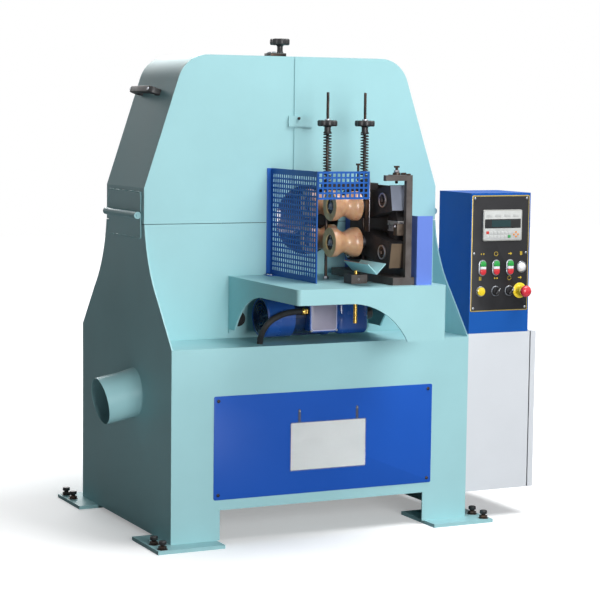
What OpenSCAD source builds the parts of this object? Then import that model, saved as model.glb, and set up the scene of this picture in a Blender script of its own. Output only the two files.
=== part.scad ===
// Round bar sanding machine: a planetary belt head in a sheet metal cabinet,
// fed by sprung rollers on a front platform, with a control console and an electric cabinet.
// X runs across the front, Y from the front to the back, Z up. Bars travel along Y.

/* [Body] */
// Width of the sheet metal body
body_w = 1108; // [1000:1:1200]
// Depth of the front ledge, and of the rear one
ledge_d = 247; // [230:1:280]
// Depth of the hood from its front face to its rear face
hood_d = 353; // [340:1:400]
// Height of the ledges above the floor
ledge_z = 646; // [630:1:652]
// Height of the top edge of the base, under the hood
base_z = 1036; // [1010:1:1044]
// Height of the bend where the sides of the hood start to lean in
lean_z = 1157; // [1140:1:1200]
// Height of the top of the hood
hood_z = 1600; // [1560:1:1680]
// Half width of the hood's top, measured to its sharp corner
crown_w = 407; // [380:1:420]
// Radius of the rounded shoulders of the hood
shoulder_r = 110; // [80:1:120]
// Thickness of the sheet of the base
base_t = 5; // [4:0.5:6]
// Thickness of the sheet of the hood
hood_t = 3; // [2:0.5:4]
// Gap between the two halves of the hood, and under them
seam_gap = 2; // [1.5:0.5:3]
// Radius of the curve at the front and rear edges of the sides
flare_r = 420; // [400:1:440]
// Inner edge of the legs, from the middle
leg_x = 381; // [360:1:400]
// Height of the lower edge of the front between the legs
apron_z = 112; // [100:1:120]

/* [Feet] */
// Side of a square foot plate
foot_w = 234; // [220:1:240]
// Thickness of a foot plate
foot_t = 12; // [10:1:16]
// How far a foot plate stands out beyond the body at the side
foot_out = 71; // [66:1:78]
// How far a foot plate stands out at the front and at the rear
foot_front = 70; // [60:1:80]
// Diameter of the levelling bolts
foot_bolt_d = 16; // [12:1:20]
// Distance between the two bolts of a foot plate
foot_bolt_gap = 75; // [60:1:90]

/* [Bar axis] */
// Distance of the bar axis from the middle plane
bar_x = 48; // [40:1:56]
// Height of the bar axis
bar_z = 1045; // [1041:1:1051]
// Radius of the round opening that the bars pass
entry_r = 120; // [110:1:125]

/* [Front panel] */
// Width of the access panel
panel_w = 816; // [780:1:830]
// Height of the access panel
panel_h = 343; // [320:1:350]
// Height of the lower edge of the access panel
panel_z = 146; // [140:1:160]
// Thickness of the access panel
panel_t = 2; // [1.5:0.5:3]
// Width of the sign holder
sign_w = 284; // [240:1:300]
// Height of the sign holder
sign_h = 198; // [180:1:210]

/* [Dust outlet] */
// Outer diameter of the dust outlet
spigot_d = 160; // [150:1:180]
// Wall of the dust outlet
spigot_wall = 2; // [1.5:0.5:3]
// Length of the dust outlet along its axis
spigot_len = 121; // [100:1:140]
// Slope of the dust outlet
spigot_tilt = 10.7; // [5:0.1:15]
// Height of the dust outlet where it meets the side
spigot_z = 463; // [440:1:480]
// Distance of the dust outlet from the front
spigot_y = 338; // [320:1:360]

/* [Hinges] */
// Length of a hood hinge
hinge_len = 300; // [260:1:320]
// Radius of a hinge knuckle
knuckle_r = 12; // [10:0.5:13]
// Radius of a hinge pin
hinge_pin_r = 5; // [4:0.5:6]
// Height of the hinge axis
hinge_z = 1066; // [1064:1:1080]
// Height of one hinge leaf
leaf_h = 64; // [50:1:70]

/* [Platform] */
// Height of the platform's top
deck_z = 858; // [840:1:864]
// Left edge of the platform, from the middle
deck_left = 247; // [230:1:260]
// Right edge of the platform, from the middle
deck_right = 293; // [270:1:310]
// How far the platform reaches in front of the base
deck_front = 290; // [280:1:310]
// Thickness of the platform's plates
deck_t = 6; // [5:0.5:8]
// Height of the platform's rim
rim_h = 50; // [40:1:60]
// Radius of the platform's corners
deck_r = 14; // [8:1:20]
// Height of the lower ends of the platform's legs
deck_leg_z = 678; // [670:1:700]

/* [Feed rollers] */
// Largest radius of a feed roller
roller_r = 49; // [46:0.5:50]
// Radius at the waist of a feed roller
waist_r = 35; // [30:0.5:38]
// Length of a feed roller
roller_len = 102; // [96:1:106]
// Radius of a roller shaft
roller_shaft_r = 12; // [10:0.5:14]
// Height of a roller axis above or below the bar axis
roller_rise = 60; // [58:0.5:64]
// Distance of the front rollers from the front of the base
front_roller_y = -20; // [-24:1:-14]
// Distance of the rear rollers from the front of the base
rear_roller_y = 150; // [146:1:156]

/* [Roller arms] */
// Thickness of an arm
arm_t = 56; // [50:1:58]
// Half height of a front arm
arm_h = 42; // [38:1:43]
// Length of the tail of a front arm beyond its pivot
arm_tail = 52; // [46:1:54]
// Half height of a rear arm
rear_arm_h = 22; // [18:1:24]
// Distance of the front pivots from the front of the base
front_pivot_y = -160; // [-164:1:-156]
// Height of the front pivots above or below the bar axis
front_pivot_rise = 85; // [84:0.5:88]
// Distance of the rear pivots from the front of the base
rear_pivot_y = 76; // [74:1:80]
// Height of the rear pivots above or below the bar axis
rear_pivot_rise = 105; // [102:0.5:108]
// Radius of a front pivot pin
front_pivot_r = 15; // [12:0.5:18]
// Radius of a rear pivot pin
rear_pivot_r = 10; // [8:0.5:12]
// Number of teeth that a full sector gear would have
sector_teeth = 34; // [30:2:38]

/* [Pressure springs] */
// Distance of the springs from the front of the base
spring_y = 38; // [36:0.5:40]
// Radius of a spring rod
rod_r = 5; // [4:0.5:5.5]
// Length of a rod above its spring
rod_over = 133; // [103:1:153]
// Mean radius of a spring
coil_r = 12.5; // [11:0.5:13]
// Radius of the spring wire
wire_r = 1.75; // [1.5:0.05:2]
// Number of turns of a spring
coil_turns = 18; // [14:1:20]
// Height of a spring
spring_h = 165; // [160:1:175]

/* [Guards] */
// Height of the perforated guard
guard_h = 364; // [350:1:380]
// Distance of the perforated guard's side from the middle
guard_x = 93; // [88:1:100]
// Distance of the perforated guard's front from the front of the base
guard_front = 105; // [100:1:110]
// Width of the perforated guard's front
guard_w = 193; // [180:1:196]
// Height of the perforated guard's front
guard_drop = 91; // [80:1:95]
// Distance between the guard's holes
guard_pitch = 19.5; // [19.5:0.5:24]
// Side of a square guard hole
guard_hole = 12.5; // [10:0.5:13]
// Sheet of the guards
guard_t = 2; // [1.5:0.5:3]
// Height of the right guard
shield_h = 224; // [200:1:240]
// Distance of the right guard from the middle
shield_x = 196; // [196:1:204]

/* [Bar support] */
// Half width of the opening of the support
vee_w = 34; // [30:1:38]
// Length of the support
vee_len = 168; // [150:1:180]
// Thickness of the support's sheet
vee_t = 3; // [2:0.5:4]
// Height of the lowest line of the support
vee_z = 896; // [894:1:910]
// Radius of the support's stem
stem_r = 7; // [6:0.5:8]
// Upward travel of the support
vee_travel = 100; // [60:1:110]

/* [Console] */
// Width of the console and of the electric cabinet's body
console_w = 241; // [230:1:250]
// Depth of the console
console_d = 216; // [200:1:230]
// Height of the console's top
console_z = 1142; // [1120:1:1160]
// Height of the joint between the electric cabinet and the console
cabinet_z = 655; // [645:1:665]
// Height of the lower face of the electric cabinet
cabinet_low = 100; // [90:1:110]
// Length of the electric cabinet from front to back
cabinet_len = 500; // [450:1:560]
// Depth of the electric cabinet's body
cabinet_d = 250; // [244:1:260]
// Thickness of the electric cabinet's door
door_t = 21; // [16:1:26]
// Sheet of the console and of the electric cabinet
case_t = 2; // [1.5:0.5:3]
// Width of the display unit
display_w = 158; // [140:1:170]
// Height of the display unit
display_h = 108; // [100:1:116]
// Travel of a push button
button_travel = 3; // [2:0.5:4]

/* [Planetary head] */
// Outer radius of the rotor plate
rotor_r = 250; // [245:1:270]
// Thickness of the rotor plate
rotor_t = 20; // [16:1:24]
// Outer radius of the hollow spindle
spindle_r = 75; // [70:1:80]
// Bore radius of the hollow spindle
spindle_bore = 62; // [55:1:64]
// Radius of the belt pulleys
pulley_r = 60; // [56:1:62]
// Width of the abrasive belts
belt_w = 60; // [50:1:62]
// Distance of the pulley axes from the bar axis across the head
pulley_span = 150; // [146:1:156]
// Distance between an abrasive belt's working side and the bar axis
belt_reach = 30; // [29:0.5:32]
// Radius of the fixed sun pulley
sun_r = 90; // [86:1:94]
// Radius of the small pulleys that the sun pulley drives
planet_r = 35; // [32:1:38]
// Radius of the large vee belt pulley
drive_big_r = 130; // [125:1:134]
// Radius of the motor's vee belt pulley
drive_small_r = 70; // [60:1:80]
// Radius of the main motor
motor_r = 110; // [100:1:115]
// Distance of the main motor's axis from the middle
motor_x = 180; // [160:1:200]
// Height of the main motor's axis
motor_z = 262; // [255:1:280]

/* [Feed drive] */
// Radius of the feed motor
feed_motor_r = 68; // [60:1:70]
// Distance of the feed motor's axis from the front of the base
feed_motor_y = 110; // [106:1:120]
// Height of the feed motor's axis
feed_motor_z = 729; // [724:1:734]

/* [Hidden] */

$fn = 64;

// Colours
aqua = "#8FCBD5";
panel_blue = "#2F67C5";
guard_blue = "#1E5C9F";
console_blue = "#155A9E";
pale_grey = "#D3D8DE";
black_steel = "#2B2B2D";
brown_steel = "#5A4A42";
bright_steel = "#A9ADB0";
amber = "#D9A65A";

// One overrun for every cut
over = 1;
// Gap between parts that move past each other
slip = 0.3;
// Radial gap of a shaft in its bore
run_fit = 0.05;

// Planes of the body, from front to back
face_y = ledge_d;
back_y = ledge_d + hood_d;
rear_y = back_y + ledge_d;
half_w = body_w / 2;
hood_low = base_z + seam_gap;
flare_rise = 24;
flare_z = hinge_z + flare_rise;

// Lean of the hood's sides
lean = atan((half_w - crown_w) / (hood_z - lean_z));
shoulder_x = half_w - (shoulder_r + (hood_z - shoulder_r - lean_z) * sin(lean)) / cos(lean);

// Edges of the whole machine, which put the origin in the middle of its base
spigot_r = spigot_d / 2;
left_edge = half_w + spigot_len * cos(spigot_tilt) + spigot_r * sin(spigot_tilt);
case_x = half_w;
gasket_t = 5;
door_x = case_x + cabinet_d + gasket_t;
right_edge = door_x + door_t;
rear_edge = rear_y + foot_front;
centre_x = (right_edge - left_edge) / 2;
centre_y = (rear_edge - deck_front) / 2;

module place() {
    translate([-centre_x, -centre_y, 0]) children();
}

module block(low, high) {
    translate(low) cube(high - low);
}

module rod_x(r, x0, x1, y, z) {
    translate([x0, y, z]) rotate([0, 90, 0]) cylinder(r = r, h = x1 - x0);
}

module rod_y(r, y0, y1, x, z) {
    translate([x, y0, z]) rotate([-90, 0, 0]) cylinder(r = r, h = y1 - y0);
}

module rod_z(r, z0, z1, x, y) {
    translate([x, y, z0]) cylinder(r = r, h = z1 - z0);
}

// A flat shape drawn in X and Z, with its thickness along Y
module slab_y(y0, y1) {
    translate([0, y1, 0]) rotate([90, 0, 0]) linear_extrude(y1 - y0) children();
}

// A flat shape drawn in Y and Z, with its thickness along X
module slab_x(x0, x1) {
    translate([x0, 0, 0]) rotate([90, 0, 90]) linear_extrude(x1 - x0) children();
}

module rectangle(low, high) {
    translate(low) square(high - low);
}

// A rectangle with true round corners
module soft_rectangle(low, high, r) {
    rectangle(low + [r, 0], high - [r, 0]);
    rectangle(low + [0, r], high - [0, r]);
    for (x = [low[0] + r, high[0] - r], y = [low[1] + r, high[1] - r])
        translate([x, y]) circle(r);
}

// Both sides of the machine, the left one mirrored
module both_sides() {
    children();
    mirror([1, 0, 0]) children();
}

// The rear half, mirrored from the front half
module front_and_rear() {
    children();
    translate([0, rear_y, 0]) mirror([0, 1, 0]) children();
}

// PEDESTAL
// Where the straight part of a side's front edge meets its curve
flare_share = 0.506;
flare_y = flare_share * face_y;
flare_top = flare_z - sqrt(flare_r * flare_r - pow(flare_y - face_y + flare_r, 2));
opening_inset = 26;
panel_x = 3;
bridge_t = 20;
bridge_drop = 170;
bridge_z = bar_z - bridge_drop;
housing_back = 150;
housing_y = back_y - housing_back;
housing_len = 110;
bridge_front = housing_y;
bridge_lip = 8;
bridge_back = housing_y + housing_len + bridge_lip;
grommet_r = 14;
cable_r = 10;
cable_x = -212;
cable_y = 67;

// One flared corner of a side panel, in Y and Z
module flare() {
    difference() {
        polygon([[0, ledge_z], [flare_y, flare_top], [flare_y, base_z],
            [face_y, base_z], [face_y, ledge_z]]);
        translate([face_y - flare_r, flare_z]) circle(flare_r, $fn = 180);
    }
}

module side_outline() {
    rectangle([0, foot_t], [rear_y, ledge_z]);
    rectangle([face_y, ledge_z], [back_y, base_z]);
    flare();
    translate([rear_y, 0]) mirror([1, 0]) flare();
}

module front_outline() {
    difference() {
        rectangle([-half_w, foot_t], [half_w, ledge_z]);
        rectangle([-leg_x, foot_t - over], [leg_x, apron_z]);
    }
}

// Hinge sizes
leaf_t = 3;
hinge_x = half_w + slip + knuckle_r;
hinge_y0 = face_y + (hood_d - hinge_len) / 2;
knuckle_count = 5;
knuckle_len = hinge_len / knuckle_count;
knuckle_slip = 0.4;
pin_head_h = 3;

// Knuckles of one leaf: first is 0 for the base's leaf and 1 for the hood's
module knuckles(first) {
    for (i = [first:2:knuckle_count - 1]) {
        y0 = hinge_y0 + i * knuckle_len + knuckle_slip;
        y1 = hinge_y0 + (i + 1) * knuckle_len - knuckle_slip;
        difference() {
            union() {
                rod_y(knuckle_r, y0, y1, hinge_x, hinge_z);
                if (first == 0)
                    block([half_w + slip, y0, hinge_z - knuckle_r - slip - over],
                        [half_w + leaf_t, y1, hinge_z]);
                else
                    block([half_w, y0, hinge_z],
                        [half_w + leaf_t, y1, hinge_z + knuckle_r + slip + over]);
            }
            if (first == 1)
                rod_y(hinge_pin_r + run_fit, y0 - over, y1 + over, hinge_x, hinge_z);
        }
    }
}

module base_leaf() {
    block([half_w, hinge_y0, hinge_z - knuckle_r - slip - leaf_h],
        [half_w + leaf_t, hinge_y0 + hinge_len, base_z]);
    block([half_w + slip, hinge_y0, base_z - over],
        [half_w + leaf_t, hinge_y0 + hinge_len, hinge_z - knuckle_r - slip]);
    knuckles(0);
    rod_y(hinge_pin_r, hinge_y0 - pin_head_h, hinge_y0 + hinge_len + pin_head_h,
        hinge_x, hinge_z);
}

module hood_leaf() {
    block([half_w, hinge_y0, hinge_z + knuckle_r + slip],
        [half_w + leaf_t, hinge_y0 + hinge_len, hinge_z + knuckle_r + slip + leaf_h]);
    knuckles(1);
}

module pedestal() {
    color(aqua) difference() {
        union() {
            both_sides() {
                slab_x(half_w - base_t, half_w) side_outline();
                front_and_rear()
                    block([half_w + foot_out - foot_w, -foot_front, 0],
                        [half_w + foot_out, foot_w - foot_front, foot_t]);
                base_leaf();
            }
            front_and_rear() {
                slab_y(0, base_t) front_outline();
                block([-half_w, 0, ledge_z - base_t], [half_w, face_y + base_t, ledge_z]);
                slab_y(face_y, face_y + base_t) difference() {
                    rectangle([-half_w, ledge_z - base_t], [half_w, base_z]);
                    translate([bar_x, bar_z]) circle(entry_r, $fn = 128);
                }
            }
            block([-half_w, 0, apron_z], [half_w, rear_y, apron_z + base_t]);
            block([-half_w, bridge_front, bridge_z - bridge_t], [half_w, bridge_back, bridge_z]);
        }
        // The opening behind the access panel
        block([panel_x - panel_w / 2 + opening_inset, -over, panel_z + opening_inset],
            [panel_x + panel_w / 2 - opening_inset, base_t + over, panel_z + panel_h - opening_inset]);
        // The hole behind the dust outlet
        translate([-half_w, spigot_y, spigot_z]) rotate([0, -90 - spigot_tilt, 0])
            translate([0, 0, -spigot_r])
                cylinder(r = spigot_r - spigot_wall, h = spigot_d, $fn = 128);
        // The hole that the motor cable goes into
        rod_z(cable_r, ledge_z - base_t - over, ledge_z + over, cable_x, cable_y);
        // The holes of the levelling bolts
        foot_bolt_places()
            rod_z(foot_bolt_d / 2 + run_fit, -over, foot_t + over, 0, 0);
    }
}

// Places of the levelling bolts at the four feet
foot_bolt_inset = 24;
module foot_bolt_places() {
    both_sides() front_and_rear()
        for (i = [0, 1])
            translate([half_w + foot_out - foot_bolt_inset,
                foot_bolt_inset - foot_front + i * foot_bolt_gap, 0])
                children();
}

nut_h = 10;
nut_r = 15;
bolt_knob_r = 13;
bolt_knob_h = 14;
bolt_top = 44;
bolt_lift = 0.5;
module leveling_bolts() {
    color(black_steel) foot_bolt_places() {
        rod_z(foot_bolt_d / 2, bolt_lift, foot_t + bolt_top, 0, 0);
        translate([0, 0, foot_t]) cylinder(r = nut_r, h = nut_h, $fn = 6);
        rod_z(bolt_knob_r, foot_t + bolt_top - bolt_knob_h, foot_t + bolt_top, 0, 0);
    }
}

panel_hole_inset = 16;
panel_screw_r = 5;
panel_screw_h = 3;
screw_shank_r = 3;
panel_corner_r = 6;
module panel_screw_places() {
    for (x = [-1, 1], z = [0, 1])
        translate([panel_x + x * (panel_w / 2 - panel_hole_inset), 0,
            panel_z + panel_hole_inset + z * (panel_h - 2 * panel_hole_inset)]) children();
}

module access_panel() {
    color(panel_blue) difference() {
        slab_y(-panel_t, 0)
            soft_rectangle([panel_x - panel_w / 2, panel_z],
                [panel_x + panel_w / 2, panel_z + panel_h], panel_corner_r);
        panel_screw_places() rod_y(screw_shank_r, -panel_t - over, over, 0, 0);
    }
}

// Sign holder: a bare plate on two hooks
sign_x = 12;
sign_z = 211;
sign_t = 2;
hook_w = 8;
hook_t = 1.5;
hook_rise = 22;
hook_share = 0.38;
module sign_holder() {
    color("white") {
        block([sign_x - sign_w / 2, -panel_t - hook_t - sign_t, sign_z],
            [sign_x + sign_w / 2, -panel_t - hook_t, sign_z + sign_h]);
        for (s = [-1, 1])
            translate([sign_x + s * hook_share * sign_w, 0, 0])
                block([-hook_w / 2, -panel_t - hook_t, sign_z],
                    [hook_w / 2, -panel_t, sign_z + sign_h + hook_rise]);
    }
}

plug_r = 26;
plug_t = 6;
plug_x = -214;
plug_z = 712;
deck_flange_z = 664;
module fasteners() {
    color(black_steel) {
        panel_screw_places() {
            rod_y(panel_screw_r, -panel_t - panel_screw_h, -panel_t, 0, 0);
            rod_y(screw_shank_r - run_fit, -panel_t, 0, 0, 0);
        }
        rod_y(plug_r, face_y - deck_t - plug_t, face_y - deck_t, plug_x, plug_z);
    }
}

// The weld at the root runs out on the tube, so the hose's seat starts past it
weld_leg = 6;
weld_len = 27;
module dust_spigot() {
    color(aqua) difference() {
        translate([-half_w, spigot_y, spigot_z]) rotate([0, -90 - spigot_tilt, 0]) difference() {
            union() {
                translate([0, 0, -spigot_r])
                    cylinder(r = spigot_r, h = spigot_r + spigot_len, $fn = 128);
                translate([0, 0, -weld_len])
                    cylinder(r1 = spigot_r + weld_leg, r2 = spigot_r, h = 2 * weld_len, $fn = 128);
            }
            translate([0, 0, -spigot_d])
                cylinder(r = spigot_r - spigot_wall, h = spigot_d + spigot_len + over, $fn = 128);
        }
        block([-half_w, spigot_y - spigot_d, spigot_z - spigot_d],
            [-half_w + spigot_d, spigot_y + spigot_d, spigot_z + spigot_d]);
    }
}

// HOOD
// Half of the hood's front outline, drawn in by an inset
module hood_profile(x0, z0, inset) {
    top = hood_z - inset;
    r = shoulder_r - inset;
    polygon([[x0, z0], [half_w - inset, z0], [half_w - inset, lean_z - inset * tan(lean / 2)],
        [shoulder_x + r * cos(lean), hood_z - shoulder_r + r * sin(lean)],
        [shoulder_x, top], [x0, top]]);
    translate([shoulder_x, hood_z - shoulder_r]) circle(r, $fn = 128);
}

module hood_shell() {
    slab_y(face_y, back_y) hood_profile(seam_gap / 2, hood_low, 0);
}

module hood_hollow() {
    slab_y(face_y + hood_t, back_y - hood_t) hood_profile(-seam_gap, hood_low - over, hood_t);
}

strip_w = 23;
strip_lap = 8;
strip_t = 3;
strip_gap = 4;
strip_z = bar_z + entry_r + strip_gap;
latch_left = 31;
latch_right = 63;
latch_share = 0.465;
latch_z = lean_z + latch_share * (hood_z - lean_z);
latch_h = 37;
latch_screw_r = 5;
latch_screw_h = 4;
latch_screw_x = 6;
latch_screw_z = 28;
clamp_y = 352;
clamp_x = -14;
clamp_left = 61;
clamp_d = 52;
clamp_h = 13;
clamp_neck_r = 12;
clamp_neck_h = 28;
clamp_knob_r = 35;
clamp_knob_h = 23;

// The strip that covers the seam, and the latch plate on it
module seam_cover() {
    block([seam_gap / 2, face_y - strip_t - slip, strip_z],
        [strip_w, face_y, hood_z]);
    block([-strip_lap, face_y - strip_t - slip, strip_z],
        [seam_gap / 2, face_y - slip, hood_z]);
}

module latch_plate() {
    block([-latch_left, face_y - 2 * strip_t - slip, latch_z],
        [latch_right, face_y - strip_t - slip, latch_z + latch_h]);
    rod_y(latch_screw_r, face_y - 2 * strip_t - slip - latch_screw_h, face_y - strip_t - slip,
        latch_screw_x, latch_z + latch_screw_z);
}

module entry_cut() {
    rod_y(entry_r, face_y - over, back_y + over, bar_x, bar_z);
}

module hood_right() {
    color(aqua) {
        difference() {
            hood_shell();
            hood_hollow();
            entry_cut();
        }
        hood_leaf();
        front_and_rear() seam_cover();
        latch_plate();
    }
}

module hood_left() {
    color(aqua) {
        difference() {
            mirror([1, 0, 0]) hood_shell();
            mirror([1, 0, 0]) hood_hollow();
            entry_cut();
        }
        mirror([1, 0, 0]) hood_leaf();
        difference() {
            block([-clamp_left, clamp_y - clamp_d / 2, hood_z],
                [-seam_gap, clamp_y + clamp_d / 2, hood_z + clamp_h]);
            rod_z(clamp_pin_r + run_fit, hood_z + slip / 2, hood_z + clamp_h + over, clamp_x, clamp_y);
        }
    }
}

// Bridge handle on the leaning side of the hood
handle_y = 460;
handle_share = 0.946;
handle_z = lean_z + handle_share * (hood_z - shoulder_r - lean_z);
handle_len = 190;
handle_r = 11;
handle_rise = 34;
handle_foot = 15;
handle_foot_t = 6;
module handle() {
    x = half_w - (handle_z - lean_z) * tan(lean);
    translate([x, handle_y, handle_z]) rotate([0, 90 - lean, 0]) {
        for (s = [-1, 1]) {
            y = s * (handle_len / 2 - handle_foot);
            rod_z(handle_r, 0, handle_rise, 0, y);
            rod_z(handle_foot, 0, handle_foot_t, 0, y);
        }
        rod_y(handle_r, -handle_len / 2, handle_len / 2, 0, handle_rise);
    }
}

module right_handle() {
    color(black_steel) handle();
}

module left_handle() {
    color(black_steel) mirror([1, 0, 0]) handle();
}

// Knob of the clamp on top of the hood, whose plate is on the left half
knob_lobes = 7;
knob_lobe_r = 6;
clamp_pin_r = 8;
module knob_lobes_cut(r, z0, z1, x, y) {
    for (i = [0:knob_lobes - 1])
        translate([x, y, 0]) rotate(i * 360 / knob_lobes)
            rod_z(knob_lobe_r, z0 - over, z1 + over, r + knob_lobe_r / 2, 0);
}

module clamp_knob() {
    low = hood_z + clamp_h + slip;
    mid = hood_z + clamp_h + clamp_neck_h;
    color(black_steel) difference() {
        union() {
            rod_z(clamp_pin_r, hood_z + slip, low + over, clamp_x, clamp_y);
            rod_z(clamp_neck_r, low, mid, clamp_x, clamp_y);
            rod_z(clamp_knob_r, mid, mid + clamp_knob_h, clamp_x, clamp_y);
        }
        knob_lobes_cut(clamp_knob_r, mid, mid + clamp_knob_h, clamp_x, clamp_y);
    }
}

// PLATFORM
arch_x = -60;
arch_z = 575;
arch_r = deck_z - rim_h - arch_z;
side_arch_y = -20;
side_arch_r = 242;
right_arch_r = 200;
stem_x = bar_x;
stem_y = -116;
module platform() {
    front = -deck_front;
    color(aqua) difference() {
        union() {
            difference() {
                translate([0, 0, deck_leg_z]) linear_extrude(deck_z - deck_leg_z) {
                    soft_rectangle([-deck_left, front], [deck_right, face_y - deck_r], deck_r);
                    rectangle([-deck_left, front + deck_r], [deck_right, face_y]);
                }
                block([-deck_left + deck_t, front + deck_t, deck_leg_z - over],
                    [deck_right - deck_t, face_y - deck_t, deck_z - deck_t]);
            }
            block([-deck_left, face_y - deck_t, deck_flange_z], [deck_right, face_y, deck_z]);
        }
        // The arch in the front
        block([-deck_left - over, front - over, deck_leg_z - over],
            [arch_x, front + deck_r, deck_z - rim_h]);
        rod_y(arch_r, front - over, front + deck_r, arch_x, arch_z);
        // The arches in the sides
        block([-deck_left - over, front - over, deck_leg_z - over],
            [-deck_left + deck_t + over, side_arch_y, deck_z - rim_h]);
        rod_x(side_arch_r, -deck_left - over, -deck_left + deck_t + over,
            side_arch_y, deck_z - rim_h - side_arch_r);
        rod_x(right_arch_r, deck_right - deck_t - over, deck_right + over,
            side_arch_y, deck_leg_z - right_arch_r / 2);
        // The hole that the bar support's stem passes
        rod_z(stem_r + over, deck_z - deck_t - over, deck_z + over, stem_x, stem_y);
        // The holes that the spring rods pass
        for (x = rod_places)
            rod_z(rod_r + run_fit, deck_z - deck_t - over, deck_z + over, x, spring_y);
    }
}

// GUARDS
border_y = 25;
border_z = 12;
tab_w = 27;
tab_d = 46;
guard_lip = 15;

// A field of square holes that fills a rectangle from its lower corner
module holes(low, high) {
    nx = floor((high[0] - low[0] - guard_hole) / guard_pitch);
    nz = floor((high[1] - low[1] - guard_hole) / guard_pitch);
    rest_x = (high[0] - low[0] - guard_hole - nx * guard_pitch) / 2;
    rest_z = (high[1] - low[1] - guard_hole - nz * guard_pitch) / 2;
    for (i = [0:nx], k = [0:nz])
        translate(low + [rest_x + i * guard_pitch, rest_z + k * guard_pitch])
            square(guard_hole);
}

module left_guard() {
    top = deck_z + guard_h;
    color(guard_blue) {
        slab_x(-guard_x, -guard_x + guard_t) difference() {
            rectangle([-guard_front, deck_z], [face_y - slip, top]);
            holes([border_y - guard_front, deck_z + border_z], [face_y - border_y, top - border_z]);
        }
        slab_y(-guard_front, guard_t - guard_front) difference() {
            rectangle([-guard_x, top - guard_drop], [guard_w - guard_x, top]);
            holes([guard_t - guard_x + over, top - guard_drop + over],
                [guard_w - guard_x - over, top - over]);
        }
        block([-guard_x - tab_w, face_y - deck_t - tab_d, deck_z],
            [-guard_x, face_y - deck_t, deck_z + guard_t]);
        block([-guard_x - guard_lip, face_y - slip - guard_t, deck_z],
            [-guard_x + over, face_y - slip, top]);
    }
}

shield_front = 257;
shield_w = 57;
module right_guard() {
    top = deck_z + shield_h;
    color(guard_blue) {
        block([shield_x, -shield_front, deck_z], [shield_x + guard_t, face_y - slip, top]);
        block([shield_x, -shield_front, deck_z], [shield_x + shield_w, guard_t - shield_front, top]);
        block([shield_x, face_y - tab_d, deck_z], [shield_x + tab_w, face_y - slip, deck_z + guard_t]);
    }
}

// FEED STAND
roller_x1 = bar_x + roller_len / 2;
roller_gap = 23;
arm_x0 = roller_x1 + roller_gap;
arm_x1 = arm_x0 + arm_t;
sector_t = 5;
sector_in = 20;
upright_x0 = arm_x1 + sector_t + 1;
upright_gap = 3;
upright_x1 = shield_x - upright_gap;
base_h = 25;
base_side = 8;
base_x0 = arm_x0 - base_side;
base_y0 = -248;
base_y1 = 190;
upright_y0 = -200;
upright_over = 24;
upright_z = bar_z + rear_pivot_rise + upright_over;
cap_t = 4;
cap_r = 24;
rear_cap_r = 16;
post_w = 22;
post_gap = 2;
post_x1 = upright_x0 - post_gap;
post_y0 = base_y0 + 2;
post_t = 16;
post_y1 = post_y0 + post_t;
bracket_z = 1214;
bracket_h = 18;
bracket_left = 83;
bracket_y1 = -176;
screw_x = 152;
screw_y = -192;
screw_r = 5;
module feed_stand() {
    color(brown_steel) {
        difference() {
            block([base_x0, base_y0, deck_z], [upright_x1, base_y1, deck_z + base_h]);
            rod_z(rod_r + run_fit, deck_z - over, deck_z + base_h + over, rod_places[1], spring_y);
        }
        block([upright_x0, upright_y0, deck_z + base_h], [upright_x1, base_y1, upright_z]);
        for (s = [-1, 1]) {
            z1 = bar_z + s * front_pivot_rise;
            z2 = bar_z + s * rear_pivot_rise;
            rod_x(front_pivot_r, arm_x0 - cap_t, upright_x0, front_pivot_y, z1);
            rod_x(cap_r, arm_x0 - cap_t, arm_x0 - slip, front_pivot_y, z1);
            rod_x(rear_pivot_r, arm_x0 - cap_t, upright_x0, rear_pivot_y, z2);
            rod_x(rear_cap_r, arm_x0 - cap_t, arm_x0 - slip, rear_pivot_y, z2);
        }
        block([post_x1 - post_w, post_y0, deck_z + base_h], [post_x1, post_y1, bracket_z]);
        difference() {
            block([bracket_left, post_y0, bracket_z - bracket_h],
                [post_x1, bracket_y1, bracket_z]);
            block([bracket_left - over, post_y1, bracket_z - bracket_h - over],
                [screw_x - post_w, bracket_y1 + over, bracket_z + over]);
            rod_z(screw_r + run_fit, bracket_z - bracket_h - over, bracket_z + over,
                screw_x, screw_y);
        }
    }
}

stop_gap = 4;
stop_nut_r = 9;
stop_nut_h = 8;
stop_head_z = 1243;
stop_head_h = 6;
arm_slope = atan((front_pivot_rise - roller_rise) / (front_roller_y - front_pivot_y));
// Height of the upper arm's tail under the stop screw
tail_top = bar_z + front_pivot_rise + arm_h / cos(arm_slope)
    + (front_pivot_y - screw_y) * tan(arm_slope);
module stop_screw() {
    color(black_steel) {
        rod_z(screw_r, tail_top + stop_gap, stop_head_z, screw_x, screw_y);
        translate([screw_x, screw_y, bracket_z + slip])
            cylinder(r = stop_nut_r, h = stop_nut_h, $fn = 6);
        rod_z(stop_nut_r, stop_head_z - stop_head_h, stop_head_z, screw_x, screw_y);
    }
}

// ARMS
// Places a shape drawn above the bar axis at its own height, or mirrored below it
module about_bar(side) {
    translate([0, 0, bar_z]) if (side > 0) children();
    else mirror([0, 0, 1]) children();
}

// An arm's side view from its pivot to its roller, in Y and Z above the bar axis
module arm_outline(pivot, end, tail, h) {
    reach = norm(end - pivot);
    slope = atan2(end[1] - pivot[1], end[0] - pivot[0]);
    translate(pivot) rotate(slope) translate([-tail, -h]) square([tail + reach, 2 * h]);
    translate(end) circle(h);
}

sector_module = 2 * front_pivot_rise / sector_teeth;
sector_step = 360 / sector_teeth;
tooth_root_share = 0.28;
tooth_tip_share = 0.13;
root_share = 1.15;
tip_share = 0.85;
sector_root = front_pivot_rise - root_share * sector_module;
sector_tip = front_pivot_rise + tip_share * sector_module;
sector_half = 2.5;

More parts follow.
